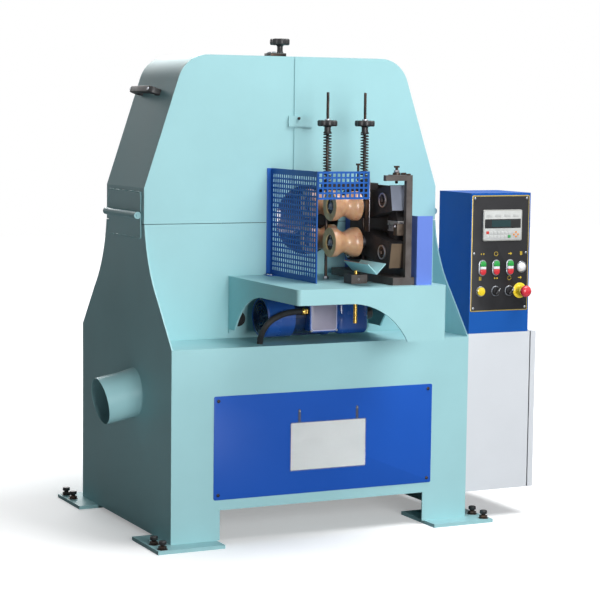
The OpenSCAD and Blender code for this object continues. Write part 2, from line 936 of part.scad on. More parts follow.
// Toothed sector round a front pivot, with its middle pointing to the bar axis
module sector(shift) {
    pitch = 2 * sector_module * 90 * PI / 180;
    intersection() {
        circle(sector_root);
        polygon([[0, 0],
            [-sector_tip * sin(sector_half * sector_step), -sector_tip * cos(sector_half * sector_step)],
            [0, -2 * sector_tip],
            [sector_tip * sin(sector_half * sector_step), -sector_tip * cos(sector_half * sector_step)]]);
    }
    for (i = [-2 + shift:1:2 - shift])
        rotate(i * sector_step)
            polygon([[-tooth_root_share * pitch, over - sector_root],
                [-tooth_root_share * pitch, -sector_root],
                [-tooth_tip_share * pitch, -sector_tip], [tooth_tip_share * pitch, -sector_tip],
                [tooth_root_share * pitch, -sector_root], [tooth_root_share * pitch, over - sector_root]]);
}

front_pivot = [front_pivot_y, front_pivot_rise];
front_end = [front_roller_y, roller_rise];
rear_pivot = [rear_pivot_y, rear_pivot_rise];
rear_end = [rear_roller_y, roller_rise];

module front_arm(shift) {
    difference() {
        union() {
            slab_x(arm_x0, arm_x1) arm_outline(front_pivot, front_end, arm_tail, arm_h);
            slab_x(arm_x1 - sector_in, arm_x1 + sector_t) translate(front_pivot) {
                sector(shift);
                circle(2 * front_pivot_r);
            }
        }
        rod_x(front_pivot_r + run_fit, arm_x0 - over, arm_x1 + sector_t + over,
            front_pivot[0], front_pivot[1]);
        rod_x(roller_shaft_r + run_fit, arm_x0 - over, arm_x1 + over, front_end[0], front_end[1]);
    }
}

// The beam of the upper arm, which carries the two springs
rod_left = 33;
rod_right = 107;
rod_places = [bar_x - rod_left, bar_x + rod_right];
beam_low = roller_rise + roller_r + 2;
beam_h = 24;
beam_y0 = 6;
beam_y1 = 46;
beam_end = 18;
beam_x0 = rod_places[0] - beam_end;
seat_t = 2;
seat_r = 15;
slot_side = 0.6;
slot_front = 12;
module front_upper_arm() {
    color(black_steel) about_bar(1) {
        front_arm(0);
        difference() {
            union() {
                block([beam_x0, beam_y0, beam_low], [arm_x1, beam_y1, beam_low + beam_h]);
                block([arm_x0, front_roller_y, roller_rise + arm_h / 2],
                    [arm_x1, beam_y0 + over, beam_low + beam_h]);
                for (x = rod_places)
                    rod_z(seat_r, beam_low + beam_h, beam_low + beam_h + seat_t, x, spring_y);
            }
            for (x = rod_places)
                block([x - rod_r - slot_side, spring_y - slot_front, beam_low - over],
                    [x + rod_r + slot_side, spring_y + seat_r + over, beam_low + beam_h + seat_t + over]);
            rod_x(roller_shaft_r + run_fit, arm_x0 - over, arm_x1 + over, front_end[0], front_end[1]);
        }
    }
}

module front_lower_arm() {
    color(black_steel) about_bar(-1) front_arm(0.5);
}

module rear_arm() {
    difference() {
        slab_x(arm_x0, arm_x1) {
            arm_outline(rear_pivot, rear_end, 0, rear_arm_h);
            translate(rear_pivot) circle(rear_arm_h);
        }
        rod_x(rear_pivot_r + run_fit, arm_x0 - over, arm_x1 + over, rear_pivot[0], rear_pivot[1]);
        rod_x(roller_shaft_r + run_fit, arm_x0 - over, arm_x1 + over, rear_end[0], rear_end[1]);
    }
}

module rear_upper_arm() {
    color(black_steel) about_bar(1) rear_arm();
}

module rear_lower_arm() {
    color(black_steel) about_bar(-1) rear_arm();
}

// ROLLERS
waist_steps = 12;
waist_share = 0.36;
waist_half = roller_len * waist_share;
roller_edge = 5;
hub_r = 26;
hub_depth = 5;
roller_screw_r = 7;

function waist(x) = waist_r + (roller_r - waist_r) * (1 - cos(180 * min(abs(x) / waist_half, 1))) / 2;

// Half section of a roller, turned round its own axis
module roller(y, z) {
    h = roller_len / 2;
    translate([bar_x, y, z]) rotate([0, 90, 0]) rotate_extrude($fn = 96) polygon(concat(
        [[0, -h + hub_depth], [hub_r, -h + hub_depth], [hub_r, -h], [roller_r - roller_edge, -h],
            [roller_r, -h + roller_edge]],
        [for (i = [-waist_steps:waist_steps]) let (x = waist_half * i / waist_steps) [waist(x), x]],
        [[roller_r, h - roller_edge], [roller_r - roller_edge, h], [0, h]]));
    rod_x(roller_screw_r, bar_x - h + over, bar_x - h + hub_depth + over, y, z);
    rod_x(roller_shaft_r, bar_x + h - over, arm_x1 - over, y, z);
}

module front_upper_roller() {
    color(amber) roller(front_roller_y, bar_z + roller_rise);
}

module front_lower_roller() {
    color(amber) roller(front_roller_y, bar_z - roller_rise);
}

module rear_upper_roller() {
    color(amber) roller(rear_roller_y, bar_z + roller_rise);
}

module rear_lower_roller() {
    color(amber) roller(rear_roller_y, bar_z - roller_rise);
}

// SPRINGS AND THEIR RODS
spring_low = bar_z + beam_low + beam_h + seat_t;
spring_top = spring_low + spring_h;
rod_z = spring_top + rod_over;
sleeve_r = 11;
sleeve_h = 20;
disc_r = 34;
disc_h = 20;
module spring_rods() {
    color(black_steel) for (x = rod_places) {
        low = x > base_x0 ? deck_z + base_h : deck_z;
        rod_z(rod_r, deck_z - deck_t, rod_z, x, spring_y);
        rod_z(2 * rod_r, low, low + nut_h, x, spring_y);
    }
}

module spring_knob(x) {
    mid = spring_top + sleeve_h;
    color(black_steel) difference() {
        union() {
            rod_z(sleeve_r, spring_top, mid + over, x, spring_y);
            rod_z(disc_r, mid, mid + disc_h, x, spring_y);
        }
        rod_z(rod_r + run_fit, spring_top - over, mid + disc_h + over, x, spring_y);
        knob_lobes_cut(disc_r, mid, mid + disc_h, x, spring_y);
    }
}

module spring_knob_left() {
    spring_knob(rod_places[0]);
}

module spring_knob_right() {
    spring_knob(rod_places[1]);
}

coil_rings = 8;
wire_sides = 6;
// Points along a spring: a straight end, the turns, and a straight end
coil_steps = coil_turns * coil_rings;
coil_rise = spring_h - 4 * wire_r;
coil_path = concat(
    [[coil_r, 0, 0]],
    [for (i = [0:coil_steps]) [coil_r * cos(360 * i / coil_rings), coil_r * sin(360 * i / coil_rings),
        2 * wire_r + coil_rise * i / coil_steps]],
    [[coil_r, 0, spring_h]]);
coil_last = len(coil_path) - 1;

function unit(v) = v / norm(v);
function coil_ahead(i) = i == 0 || i == coil_last ? [0, 0, 1]
    : unit(coil_path[i + 1] - coil_path[i - 1]);
function coil_out(i) = unit([coil_path[i][0], coil_path[i][1], 0]);

coil_points = [for (i = [0:coil_last], k = [0:wire_sides - 1])
    let (t = coil_ahead(i), n = unit(coil_out(i) - t * (t * coil_out(i))), b = cross(t, n))
        coil_path[i] + wire_r * (cos(360 * k / wire_sides) * n + sin(360 * k / wire_sides) * b)];

function ring_faces(rings, sides) = concat(
    [for (i = [0:rings - 2], k = [0:sides - 1]) let (m = (k + 1) % sides)
        [i * sides + k, i * sides + m, (i + 1) * sides + m]],
    [for (i = [0:rings - 2], k = [0:sides - 1]) let (m = (k + 1) % sides)
        [i * sides + k, (i + 1) * sides + m, (i + 1) * sides + k]],
    [for (k = [1:sides - 2]) [0, k + 1, k]],
    [for (k = [1:sides - 2]) let (b = (rings - 1) * sides) [b, b + k, b + k + 1]]);

// Least distance between turns that are not neighbours along the wire
coil_gap = min([for (i = [0:coil_last], j = [i + coil_rings / 2:coil_last])
    norm(coil_path[i] - coil_path[j])]) - 2 * wire_r;
echo(spring_self_gap = coil_gap);

module pressure_springs() {
    color(black_steel) for (x = rod_places)
        translate([x, spring_y, spring_low])
            polyhedron(coil_points, ring_faces(coil_last + 1, wire_sides));
}

// BAR SUPPORT
block_left = 34;
block_right = 24;
block_front = 34;
block_back = 20;
block_x0 = stem_x - block_left;
block_y0 = stem_y - block_front;
block_y1 = stem_y + block_back;
block_h = 29;
clamp_screw_r = 4;
clamp_screw_len = 12;
module v_block() {
    color(brown_steel) {
        difference() {
            block([block_x0, block_y0, deck_z], [stem_x + block_right, block_y1, deck_z + block_h]);
            rod_z(stem_r + run_fit, deck_z - over, deck_z + block_h + over, stem_x, stem_y);
            rod_y(clamp_screw_r, block_y0 - over, block_y0 + clamp_screw_len,
                stem_x - stem_r, deck_z + block_h / 2);
        }
        rod_y(clamp_screw_r - run_fit, block_y0 + clamp_screw_len / 2, block_y0 + clamp_screw_len,
            stem_x - stem_r, deck_z + block_h / 2);
    }
}

stem_low = 724;
vee_y1 = -92;
module v_support() {
    color(aqua) {
        slab_y(vee_y1 - vee_len, vee_y1) translate([bar_x, vee_z])
            polygon([[0, 0], [vee_w, vee_w], [vee_w - vee_t, vee_w + vee_t / 2], [0, vee_t * sqrt(2)],
                [vee_t - vee_w, vee_w + vee_t / 2], [-vee_w, vee_w]]);
        rod_z(stem_r, stem_low, vee_z + vee_t, stem_x, stem_y);
    }
}

// FEED DRIVE
fm_y = feed_motor_y;
fm_z = feed_motor_z;
cowl_x0 = -192;
cowl_x1 = -92;
body_x0 = cowl_x1;
body_x1 = 36;
gear_x0 = 48;
gear_x1 = 190;
gear_r = 62;
fin_count = 18;
fin_h = 8;
fin_t = 2;
box_x0 = -52;
box_x1 = 50;
box_y0 = 14;
box_z0 = 684;
box_z1 = 780;
lid_t = 6;
gland_x = box_x0;
gland_y = 22;
gland_z = 752;
gland_len = 22;
gland_r = 13;
grille_bars = 7;
module motor_body() {
    color(guard_blue) {
        difference() {
            rod_x(feed_motor_r, cowl_x0, cowl_x1, fm_y, fm_z);
            rod_x(feed_motor_r - fin_t, cowl_x0 + fin_t, cowl_x1 - fin_h, fm_y, fm_z);
            for (i = [0:grille_bars - 1])
                rod_x(fin_h / 2, cowl_x0 - over, cowl_x0 + fin_t + over,
                    fm_y + (feed_motor_r - 3 * fin_h) * cos(i * 360 / grille_bars),
                    fm_z + (feed_motor_r - 3 * fin_h) * sin(i * 360 / grille_bars));
        }
        rod_x(feed_motor_r - fin_h, body_x0 - 2 * over, gear_x0, fm_y, fm_z);
        rod_x(feed_motor_r, body_x1, gear_x0, fm_y, fm_z);
        for (i = [0:fin_count - 1])
            translate([0, fm_y, fm_z]) rotate([i * 360 / fin_count, 0, 0])
                block([body_x0 - over, -fin_t / 2, 0], [body_x1 + over, fin_t / 2, feed_motor_r - fin_t]);
        block([box_x0, box_y0 + lid_t, box_z0], [box_x1, fm_y, box_z1]);
        block([box_x0 - fin_t, box_y0, box_z0 - fin_t], [box_x1 + fin_t, box_y0 + lid_t, box_z1 + fin_t]);
        rod_x(gland_r, gland_x - gland_len, gland_x, gland_y + gland_r, gland_z);
    }
}

output_r = 18;
output_len = 52;
mount_t = 12;
module gearmotor() {
    motor_body();
    color(guard_blue) {
        rod_x(gear_r, gear_x0, gear_x1 - gear_r, fm_y, fm_z);
        block([gear_x1 - 2 * gear_r, fm_y - gear_r, fm_z - gear_r],
            [gear_x1, fm_y + gear_r, fm_z + gear_r]);
        rod_y(output_r, fm_y - gear_r - output_len / 2, fm_y - gear_r + over, gear_x1 - gear_r, fm_z);
        block([gear_x1 - 2 * gear_r, fm_y - gear_r, fm_z + gear_r - over],
            [gear_x1, fm_y + gear_r, deck_z - deck_t]);
    }
}

// Route of the motor cable, from the gland down to the hole in the ledge
cable_route = [[-74, 35, 752], [-92, 33, 752], [-112, 31, 751], [-132, 28, 749], [-152, 24, 745],
    [-172, 21, 738], [-190, 22, 728], [-204, 26, 714], [-213, 34, 697], [-216, 44, 680],
    [-215, 56, 665], [-212, 64, 656], [-212, 67, 646]];
cable_sides = 10;
cable_side = [0.3, 1, 0.2];
cable_last = len(cable_route) - 1;
function cable_ahead(i) = i == 0 ? [-1, 0, 0] : i == cable_last ? [0, 0, -1]
    : unit(cable_route[i + 1] - cable_route[i - 1]);
cable_points = [for (i = [0:cable_last], k = [0:cable_sides - 1])
    let (t = cable_ahead(i), n = unit(cross(t, cable_side)), b = cross(t, n))
        cable_route[i] + (cable_r - run_fit) * (cos(360 * k / cable_sides) * n
            + sin(360 * k / cable_sides) * b)];

module motor_cable() {
    color("#1A1A1A") polyhedron(cable_points, ring_faces(cable_last + 1, cable_sides));
}

// CONSOLE
panel_plate_t = 4;
console_x1 = case_x + console_w;
panel_side = 4;
plate_x0 = case_x + panel_side;
plate_x1 = console_x1 - panel_side;
plate_z0 = 731;
panel_drop = 8;
plate_z1 = console_z - panel_drop;
module console_box() {
    color(console_blue) difference() {
        block([case_x, 0, cabinet_z], [console_x1, console_d, console_z]);
        block([case_x + case_t, panel_plate_t, cabinet_z + case_t],
            [console_x1 - case_t, console_d - case_t, console_z - case_t]);
        block([plate_x0 - slip, -over, plate_z0 - slip],
            [plate_x1 + slip, panel_plate_t + over, plate_z1 + slip]);
    }
}

// Places of the controls on the panel: the first three are the double push buttons
button_x = [603, 658, 715];
button_row = 883;
lamp_x = 763;
switch_row = 801;
reset_x = 598;
selector_x = [659, 714];
estop_x = 757;
stem = 6;
oval_w = 12;
oval_h = 25;
lens_half = 4.5;
cap_gap = 0.5;
bezel_w = 3;
bezel_t = 5;
button_out = 9;
lamp_r = 17;
round_r = 15;
estop_base_r = 27;
estop_collar_r = 18;
estop_collar_t = 30;
estop_r = 20;

module oval(grow) {
    for (s = [-1, 1])
        translate([0, s * (oval_h - oval_w)]) circle(oval_w + grow);
    rectangle([-oval_w - grow, oval_w - oval_h], [oval_w + grow, oval_h - oval_w]);
}

module round_bezel(r, x, z) {
    difference() {
        rod_y(r + bezel_w, -bezel_t, 0, x, z);
        rod_y(r + slip, -bezel_t - over, over, x, z);
    }
}

module control_panel() {
    color("#1C1C1E") {
        difference() {
            block([plate_x0, 0, plate_z0], [plate_x1, panel_plate_t, plate_z1]);
            for (x = button_x, s = [-1, 1])
                rod_y(stem + run_fit, -over, panel_plate_t + over, x, button_row + s * oval_h / 2);
            for (x = concat([reset_x, estop_x], selector_x))
                rod_y(stem + run_fit, -over, panel_plate_t + over, x, switch_row);
        }
        for (x = button_x)
            slab_y(-bezel_t, 0) translate([x, button_row]) difference() {
                oval(bezel_w);
                oval(slip);
            }
        round_bezel(round_r, reset_x, switch_row);
        round_bezel(lamp_r, lamp_x, button_row);
        for (x = selector_x)
            round_bezel(round_r, x, switch_row);
        difference() {
            union() {
                rod_y(estop_base_r, -bezel_t, 0, estop_x, switch_row);
                rod_y(estop_collar_r, -estop_collar_t, 0, estop_x, switch_row);
            }
            rod_y(stem + run_fit, -estop_collar_t - over, over, estop_x, switch_row);
        }
    }
}

display_x = 600;
display_z = 976;
display_t = 7;
module display_unit() {
    color(pale_grey) slab_y(-display_t, 0)
        soft_rectangle([display_x, display_z], [display_x + display_w, display_z + display_h], hook_w / 2);
}

module indicator_lamps() {
    color("white") {
        rod_y(lamp_r, -button_out, 0, lamp_x, button_row);
        for (x = button_x)
            block([x - oval_w, -bezel_t, button_row - lens_half],
                [x + oval_w, 0, button_row + lens_half]);
    }
}

// One head of a double push button: side is 1 for the upper head and -1 for the lower
module half_button(x, side) {
    slab_y(-button_out, -button_travel - slip) translate([x, button_row]) intersection() {
        oval(0);
        mirror([0, side > 0 ? 0 : 1])
            rectangle([-oval_w, lens_half + cap_gap], [oval_w, oval_h]);
    }
    rod_y(stem, -button_travel - over, panel_plate_t + bezel_t, x, button_row + side * oval_h / 2);
}

module start_button_1() {
    color("green") half_button(button_x[0], 1);
}

module start_button_2() {
    color("green") half_button(button_x[1], 1);
}

module start_button_3() {
    color("green") half_button(button_x[2], 1);
}

module stop_button_1() {
    color("red") half_button(button_x[0], -1);
}

module stop_button_2() {
    color("red") half_button(button_x[1], -1);
}

module stop_button_3() {
    color("red") half_button(button_x[2], -1);
}

module reset_button() {
    color("#F0D814") {
        rod_y(round_r, -button_out, -button_travel - slip, reset_x, switch_row);
        rod_y(stem, -button_travel - over, panel_plate_t + bezel_t, reset_x, switch_row);
    }
}

grip_w = 8;
grip_out = 20;
selector_turn = 35;
module selector(x) {
    color("#151515") {
        rod_y(round_r, -button_out, -slip, x, switch_row);
        rod_y(stem, -over, panel_plate_t + bezel_t, x, switch_row);
        translate([x, 0, switch_row]) rotate([0, selector_turn, 0])
            block([-grip_w / 2, -grip_out, -round_r + over], [grip_w / 2, -button_out, round_r - over]);
    }
}

module selector_1() {
    selector(selector_x[0]);
}

module selector_2() {
    selector(selector_x[1]);
}

estop_neck_r = 12;
estop_t = 22;
module estop_button() {
    back = -estop_collar_t - button_travel - slip;
    color("#E0303F") {
        rod_y(estop_r, back - estop_t, back, estop_x, switch_row);
        rod_y(stem, back - over, panel_plate_t + bezel_t, estop_x, switch_row);
    }
}

// ELECTRIC CABINET
door_gap = 3;
door_hinge_off = 8;
door_hinge_x = door_x + door_hinge_off;
door_hinge_y = cabinet_len + door_hinge_off;
door_knuckle_r = 7;
door_pin_r = 3;
door_knuckle_h = 40;
door_lug_h = 12;
door_hinge_shares = [0.18, 0.75];
cabinet_h = cabinet_z - cabinet_low;
cabinet_x1 = case_x + cabinet_d;
cabinet_lip = 2 * door_gap + gasket_t;

module cabinet_box() {
    color(pale_grey) {
        difference() {
            block([case_x, 0, cabinet_low], [cabinet_x1, cabinet_len, cabinet_z]);
            block([case_x + case_t, case_t, cabinet_low + case_t],
                [cabinet_x1 - case_t, cabinet_len - case_t, cabinet_z - case_t]);
            block([case_x + case_t, cabinet_lip, cabinet_low + cabinet_lip],
                [cabinet_x1 + over, cabinet_len - cabinet_lip, cabinet_z - cabinet_lip]);
        }
        difference() {
            block([cabinet_x1 - over, 2 * door_gap, cabinet_low + 2 * door_gap],
                [cabinet_x1 + gasket_t - slip, cabinet_len - 2 * door_gap, cabinet_z - 2 * door_gap]);
            block([cabinet_x1 - 2 * over, 2 * door_gap + gasket_t, cabinet_low + 2 * door_gap + gasket_t],
                [cabinet_x1 + gasket_t + over, cabinet_len - 2 * door_gap - gasket_t,
                    cabinet_z - 2 * door_gap - gasket_t]);
        }
        difference() {
            for (share = door_hinge_shares) {
                z = cabinet_low + share * cabinet_h;
                rod_z(door_knuckle_r, z - door_lug_h, z - slip, door_hinge_x, door_hinge_y);
                rod_z(door_pin_r, z - door_lug_h, z + door_knuckle_h, door_hinge_x, door_hinge_y);
                block([cabinet_x1 - door_lug_h, cabinet_len - over, z - door_lug_h],
                    [cabinet_x1, door_hinge_y + door_knuckle_r, z - slip]);
                block([cabinet_x1 - over, door_hinge_y - door_knuckle_r, z - door_lug_h],
                    [door_hinge_x, door_hinge_y + door_knuckle_r, z - slip]);
            }
            block([case_x + case_t, case_t, cabinet_low + case_t],
                [cabinet_x1 + over, cabinet_len - case_t, cabinet_z - case_t]);
        }
    }
}

lock_r = 11;
lock_t = 3;
lock_share = 0.55;
module cabinet_door() {
    color(pale_grey) difference() {
        union() {
            block([door_x, 0, cabinet_low], [door_x + door_t, cabinet_len, cabinet_z]);
            for (share = door_hinge_shares) {
                z = cabinet_low + share * cabinet_h;
                rod_z(door_knuckle_r, z, z + door_knuckle_h, door_hinge_x, door_hinge_y);
                block([door_hinge_x, cabinet_len - over, z],
                    [door_x + door_t - over, door_hinge_y, z + door_knuckle_h]);
            }
        }
        block([door_x - over, case_t, cabinet_low + case_t],
            [door_x + door_t - case_t, cabinet_len - case_t, cabinet_z - case_t]);
        for (share = door_hinge_shares) {
            z = cabinet_low + share * cabinet_h;
            rod_z(door_pin_r + run_fit, z - over, z + door_knuckle_h + over, door_hinge_x, door_hinge_y);
        }
        rod_x(lock_r, door_x + door_t - lock_t, door_x + door_t + over, lock_r + 3 * door_gap,
            cabinet_low + lock_share * cabinet_h);
    }
}

plate_gap = 14;
drive_d = 110;
drive_w = 140;
drive_h = 230;
contactor_w = 45;
contactor_h = 85;
contactor_d = 80;
duct_d = 40;
device_gap = 25;
module electrics() {
    x0 = case_x + case_t;
    plate_x = x0 + plate_gap;
    color(pale_grey) {
        block([plate_x, device_gap, cabinet_low + device_gap],
            [plate_x + case_t, cabinet_len - device_gap, cabinet_z - device_gap]);
        for (y = [2 * device_gap, cabinet_len - 2 * device_gap],
            z = [cabinet_low + 2 * device_gap, cabinet_z - 2 * device_gap])
            rod_x(stem, x0, plate_x + over, y, z);
    }
    color("#3A3D42") {
        block([plate_x + case_t, 2 * device_gap, cabinet_low + 3 * device_gap],
            [plate_x + drive_d, 2 * device_gap + drive_w, cabinet_low + 3 * device_gap + drive_h]);
        for (i = [0:3])
            translate([0, 2 * device_gap + drive_w + device_gap + i * (contactor_w + case_t), 0])
                block([plate_x + case_t, 0, cabinet_low + 3 * device_gap],
                    [plate_x + contactor_d, contactor_w, cabinet_low + 3 * device_gap + contactor_h]);
        block([plate_x + case_t, 2 * device_gap, cabinet_z - 3 * device_gap - duct_d],
            [plate_x + duct_d, cabinet_len - 2 * device_gap, cabinet_z - 3 * device_gap]);
    }
}

// PLANETARY HEAD
rotor_back = 60;
sun_gap = 5;
sun_end = 3;
wheel_back = 10;
wheel_rim = 3;
plate_y0 = housing_y - rotor_back;
plate_y1 = plate_y0 + rotor_t;
sun_y0 = plate_y1 + sun_gap;
sun_y1 = housing_y - sun_end;
wheel_y1 = plate_y0 - wheel_back;
wheel_y0 = wheel_y1 - belt_w - 2 * wheel_rim;
spindle_y0 = plate_y0;
big_y0 = bridge_back + slip;
big_gap = 4;
big_y1 = back_y - base_t - big_gap;
pulley_up = pulley_r + belt_reach;
pulley_shaft_r = 12;
housing_wall = 40;
foot_half = 130;
module spindle_housing() {
    color("#4E6A74") difference() {
        union() {
            rod_y(spindle_r + housing_wall, housing_y, housing_y + housing_len, bar_x, bar_z);
            block([bar_x - spindle_r, housing_y, bridge_z],
                [bar_x + spindle_r, housing_y + housing_len, bar_z]);
            block([bar_x - foot_half, housing_y, bridge_z],
                [bar_x + foot_half, housing_y + housing_len, bridge_z + bridge_t]);
            rod_y(sun_r, sun_y0, housing_y + over, bar_x, bar_z);
        }
        rod_y(spindle_r + run_fit, sun_y0 - over, housing_y + housing_len + over, bar_x, bar_z);
    }
}

collar_t = 8;
groove_t = 5;
module spindle() {
    color(bright_steel) difference() {
        union() {
            rod_y(spindle_r, spindle_y0, big_y1, bar_x, bar_z);
            rod_y(drive_big_r, big_y0, big_y0 + groove_t, bar_x, bar_z);
            rod_y(drive_big_r - collar_t, big_y0, big_y1, bar_x, bar_z);
            rod_y(drive_big_r, big_y1 - groove_t, big_y1, bar_x, bar_z);
        }
        rod_y(spindle_bore, spindle_y0 - over, big_y1 + over, bar_x, bar_z);
    }
}

// The four pulley axes: a pair for each abrasive belt, half a turn apart
axis_a = [-pulley_span, pulley_up];
axis_b = [pulley_span, -pulley_up];
axis_c = [pulley_span, pulley_up];
axis_d = [-pulley_span, -pulley_up];

module rotor_plate() {
    color("#B8BCC0") difference() {
        rod_y(rotor_r, plate_y0, plate_y1, bar_x, bar_z);
        rod_y(spindle_r + run_fit, plate_y0 - over, plate_y1 + over, bar_x, bar_z);
        for (p = [axis_a, axis_b, axis_c, axis_d])
            rod_y(pulley_shaft_r + run_fit, plate_y0 - over, plate_y1 + over,
                bar_x + p[0], bar_z + p[1]);
    }
}

module idler(p) {
    color(bright_steel) {
        rod_y(pulley_r, wheel_y0, wheel_y1, bar_x + p[0], bar_z + p[1]);
        rod_y(pulley_shaft_r, wheel_y1 - over, plate_y1, bar_x + p[0], bar_z + p[1]);
    }
}

module driven(p) {
    idler(p);
    color(bright_steel) {
        rod_y(pulley_shaft_r, plate_y1 - over, sun_y0 + over, bar_x + p[0], bar_z + p[1]);
        rod_y(planet_r, sun_y0, sun_y1, bar_x + p[0], bar_z + p[1]);
    }
}

module drive_pulley_a() {
    driven(axis_a);
}

module drive_pulley_b() {
    driven(axis_b);
}

module idler_pulley_a() {
    idler(axis_c);
}

module idler_pulley_b() {
    idler(axis_d);
}

// Points of an arc, and the outline of an open belt drawn tight round two circles
belt_steps = 40;
full = 360;
function arc(c, r, a, b) = [for (i = [0:belt_steps])
    let (t = a + (b - a) * i / belt_steps) c + r * [cos(t), sin(t)]];

module taut(p, q, r, s) {
    d = norm(q - p);
    along = atan2(q[1] - p[1], q[0] - p[0]);
    open = acos((r - s) / d);
    polygon(concat(arc(p, r, along + open, along + full - open), arc(q, s, along - open, along + open)));
}

module belt(y0, y1, p, q, r, s, t) {
    slab_y(y0, y1) translate([bar_x, bar_z]) difference() {
        taut(p, q, r + slip + t, s + slip + t);
        taut(p, q, r + slip, s + slip);
    }
}

abrasive_t = 1.5;
flat_belt_t = 3;
module head_belts() {
    mid = (sun_y0 + sun_y1) / 2;
    color("#6B4A36") {
        belt(wheel_y0 + wheel_rim, wheel_y1 - wheel_rim, axis_a, axis_c, pulley_r, pulley_r, abrasive_t);
        belt(wheel_y0 + wheel_rim, wheel_y1 - wheel_rim, axis_d, axis_b, pulley_r, pulley_r, abrasive_t);
    }
    color("#222222") {
        belt(sun_y0 + over, mid - over, [0, 0], axis_a, sun_r, planet_r, flat_belt_t);
        belt(mid + over, sun_y1 - over, [0, 0], axis_b, sun_r, planet_r, flat_belt_t);
    }
}

motor_front = 150;
motor_back = 10;
motor_y0 = bridge_front - motor_front;
motor_y1 = bridge_back - motor_back;
motor_shaft_r = 14;
motor_foot_w = 180;
motor_foot_t = 14;
module main_motor() {
    tray = apron_z + base_t;
    color("#3F6F8C") difference() {
        union() {
            rod_y(motor_r, motor_y0, motor_y1, -motor_x, motor_z);
            block([-motor_x - motor_foot_w / 2, motor_y0 + 2 * motor_foot_t, tray],
                [-motor_x + motor_foot_w / 2, motor_y1 - 2 * motor_foot_t, tray + motor_foot_t]);
            block([-motor_x - motor_foot_w / 3, motor_y0 + 2 * motor_foot_t, tray],
                [-motor_x + motor_foot_w / 3, motor_y1 - 2 * motor_foot_t, motor_z]);
        }
        rod_y(motor_shaft_r + run_fit, motor_y1 - motor_foot_w / 2, motor_y1 + over, -motor_x, motor_z);
    }
}

module motor_pulley() {
    color(bright_steel) {
        rod_y(motor_shaft_r, motor_y1 - motor_foot_w / 2 + over, big_y1, -motor_x, motor_z);
        rod_y(drive_small_r, big_y0, big_y0 + groove_t, -motor_x, motor_z);
        rod_y(drive_small_r - collar_t, big_y0, big_y1, -motor_x, motor_z);
        rod_y(drive_small_r, big_y1 - groove_t, big_y1, -motor_x, motor_z);
    }
}

main_belt_t = 9;
module main_belt() {
    color("#1E1E1E")
        belt(big_y0 + groove_t + slip, big_y1 - groove_t - slip, [0, 0],
            [-motor_x - bar_x, motor_z - bar_z], drive_big_r - collar_t, drive_small_r - collar_t,
            main_belt_t);
}

place() pedestal();
place() leveling_bolts();
place() access_panel();
place() fasteners();
place() sign_holder();
place() dust_spigot();
place() hood_left();
place() hood_right();
place() left_handle();
place() right_handle();
place() clamp_knob();
place() platform();
place() left_guard();
place() right_guard();
place() feed_stand();
place() spring_rods();
place() spring_knob_left();
place() spring_knob_right();
place() pressure_springs();
place() front_upper_arm();
place() front_lower_arm();
place() rear_upper_arm();
place() rear_lower_arm();
place() front_upper_roller();
place() front_lower_roller();
place() rear_upper_roller();
place() rear_lower_roller();
place() stop_screw();
place() v_block();
place() v_support();
place() gearmotor();
place() motor_cable();
place() console_box();
place() control_panel();
place() display_unit();
place() indicator_lamps();
place() estop_button();
place() start_button_1();
place() start_button_2();
place() start_button_3();
place() stop_button_1();
place() stop_button_2();
place() stop_button_3();
place() reset_button();
place() selector_1();
place() selector_2();
place() cabinet_box();
place() cabinet_door();
place() electrics();
place() spindle_housing();
place() spindle();
place() rotor_plate();
place() drive_pulley_a();
place() drive_pulley_b();
place() idler_pulley_a();
place() idler_pulley_b();
place() head_belts();
place() main_motor();
place() motor_pulley();
place() main_belt();
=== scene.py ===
"""Round bar sanding machine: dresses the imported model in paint, steel, polyurethane and controls."""
import math

import bmesh
import bpy
from mathutils import Matrix, Vector


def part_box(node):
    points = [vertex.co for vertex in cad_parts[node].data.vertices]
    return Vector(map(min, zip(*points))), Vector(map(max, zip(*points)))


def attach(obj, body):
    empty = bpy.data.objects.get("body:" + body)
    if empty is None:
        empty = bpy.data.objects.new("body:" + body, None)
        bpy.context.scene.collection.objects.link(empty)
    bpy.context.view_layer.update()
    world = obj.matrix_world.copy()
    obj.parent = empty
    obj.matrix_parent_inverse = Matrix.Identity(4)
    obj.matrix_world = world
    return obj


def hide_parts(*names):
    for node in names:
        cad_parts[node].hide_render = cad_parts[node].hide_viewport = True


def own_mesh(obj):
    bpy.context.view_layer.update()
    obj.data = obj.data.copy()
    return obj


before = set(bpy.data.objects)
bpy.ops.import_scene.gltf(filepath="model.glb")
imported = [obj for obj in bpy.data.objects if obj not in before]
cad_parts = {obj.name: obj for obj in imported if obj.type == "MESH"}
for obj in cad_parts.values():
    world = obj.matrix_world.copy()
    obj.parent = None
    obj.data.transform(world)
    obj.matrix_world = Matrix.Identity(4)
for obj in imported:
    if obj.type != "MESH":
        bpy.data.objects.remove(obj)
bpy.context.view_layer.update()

bl_info = {
    "name": "Round Bar Sanding Machine",
    "version": (1, 0, 0),
    "blender": (4, 5, 0),
    "location": "3D Viewport > Sidebar > Sander",
    "description": "Builds and finishes the visible pieces of a round bar sanding machine",
    "category": "Add Mesh",
}

# Drawing units are millimetres, measured from the middle of the body, its front and the floor
MM = 0.001
FOOT_LEFT, FOOT_FRONT = -625.0, -70.0
SHIFT = Vector(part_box("pedestal")[0]) / MM - Vector((FOOT_LEFT, FOOT_FRONT, 0.0))

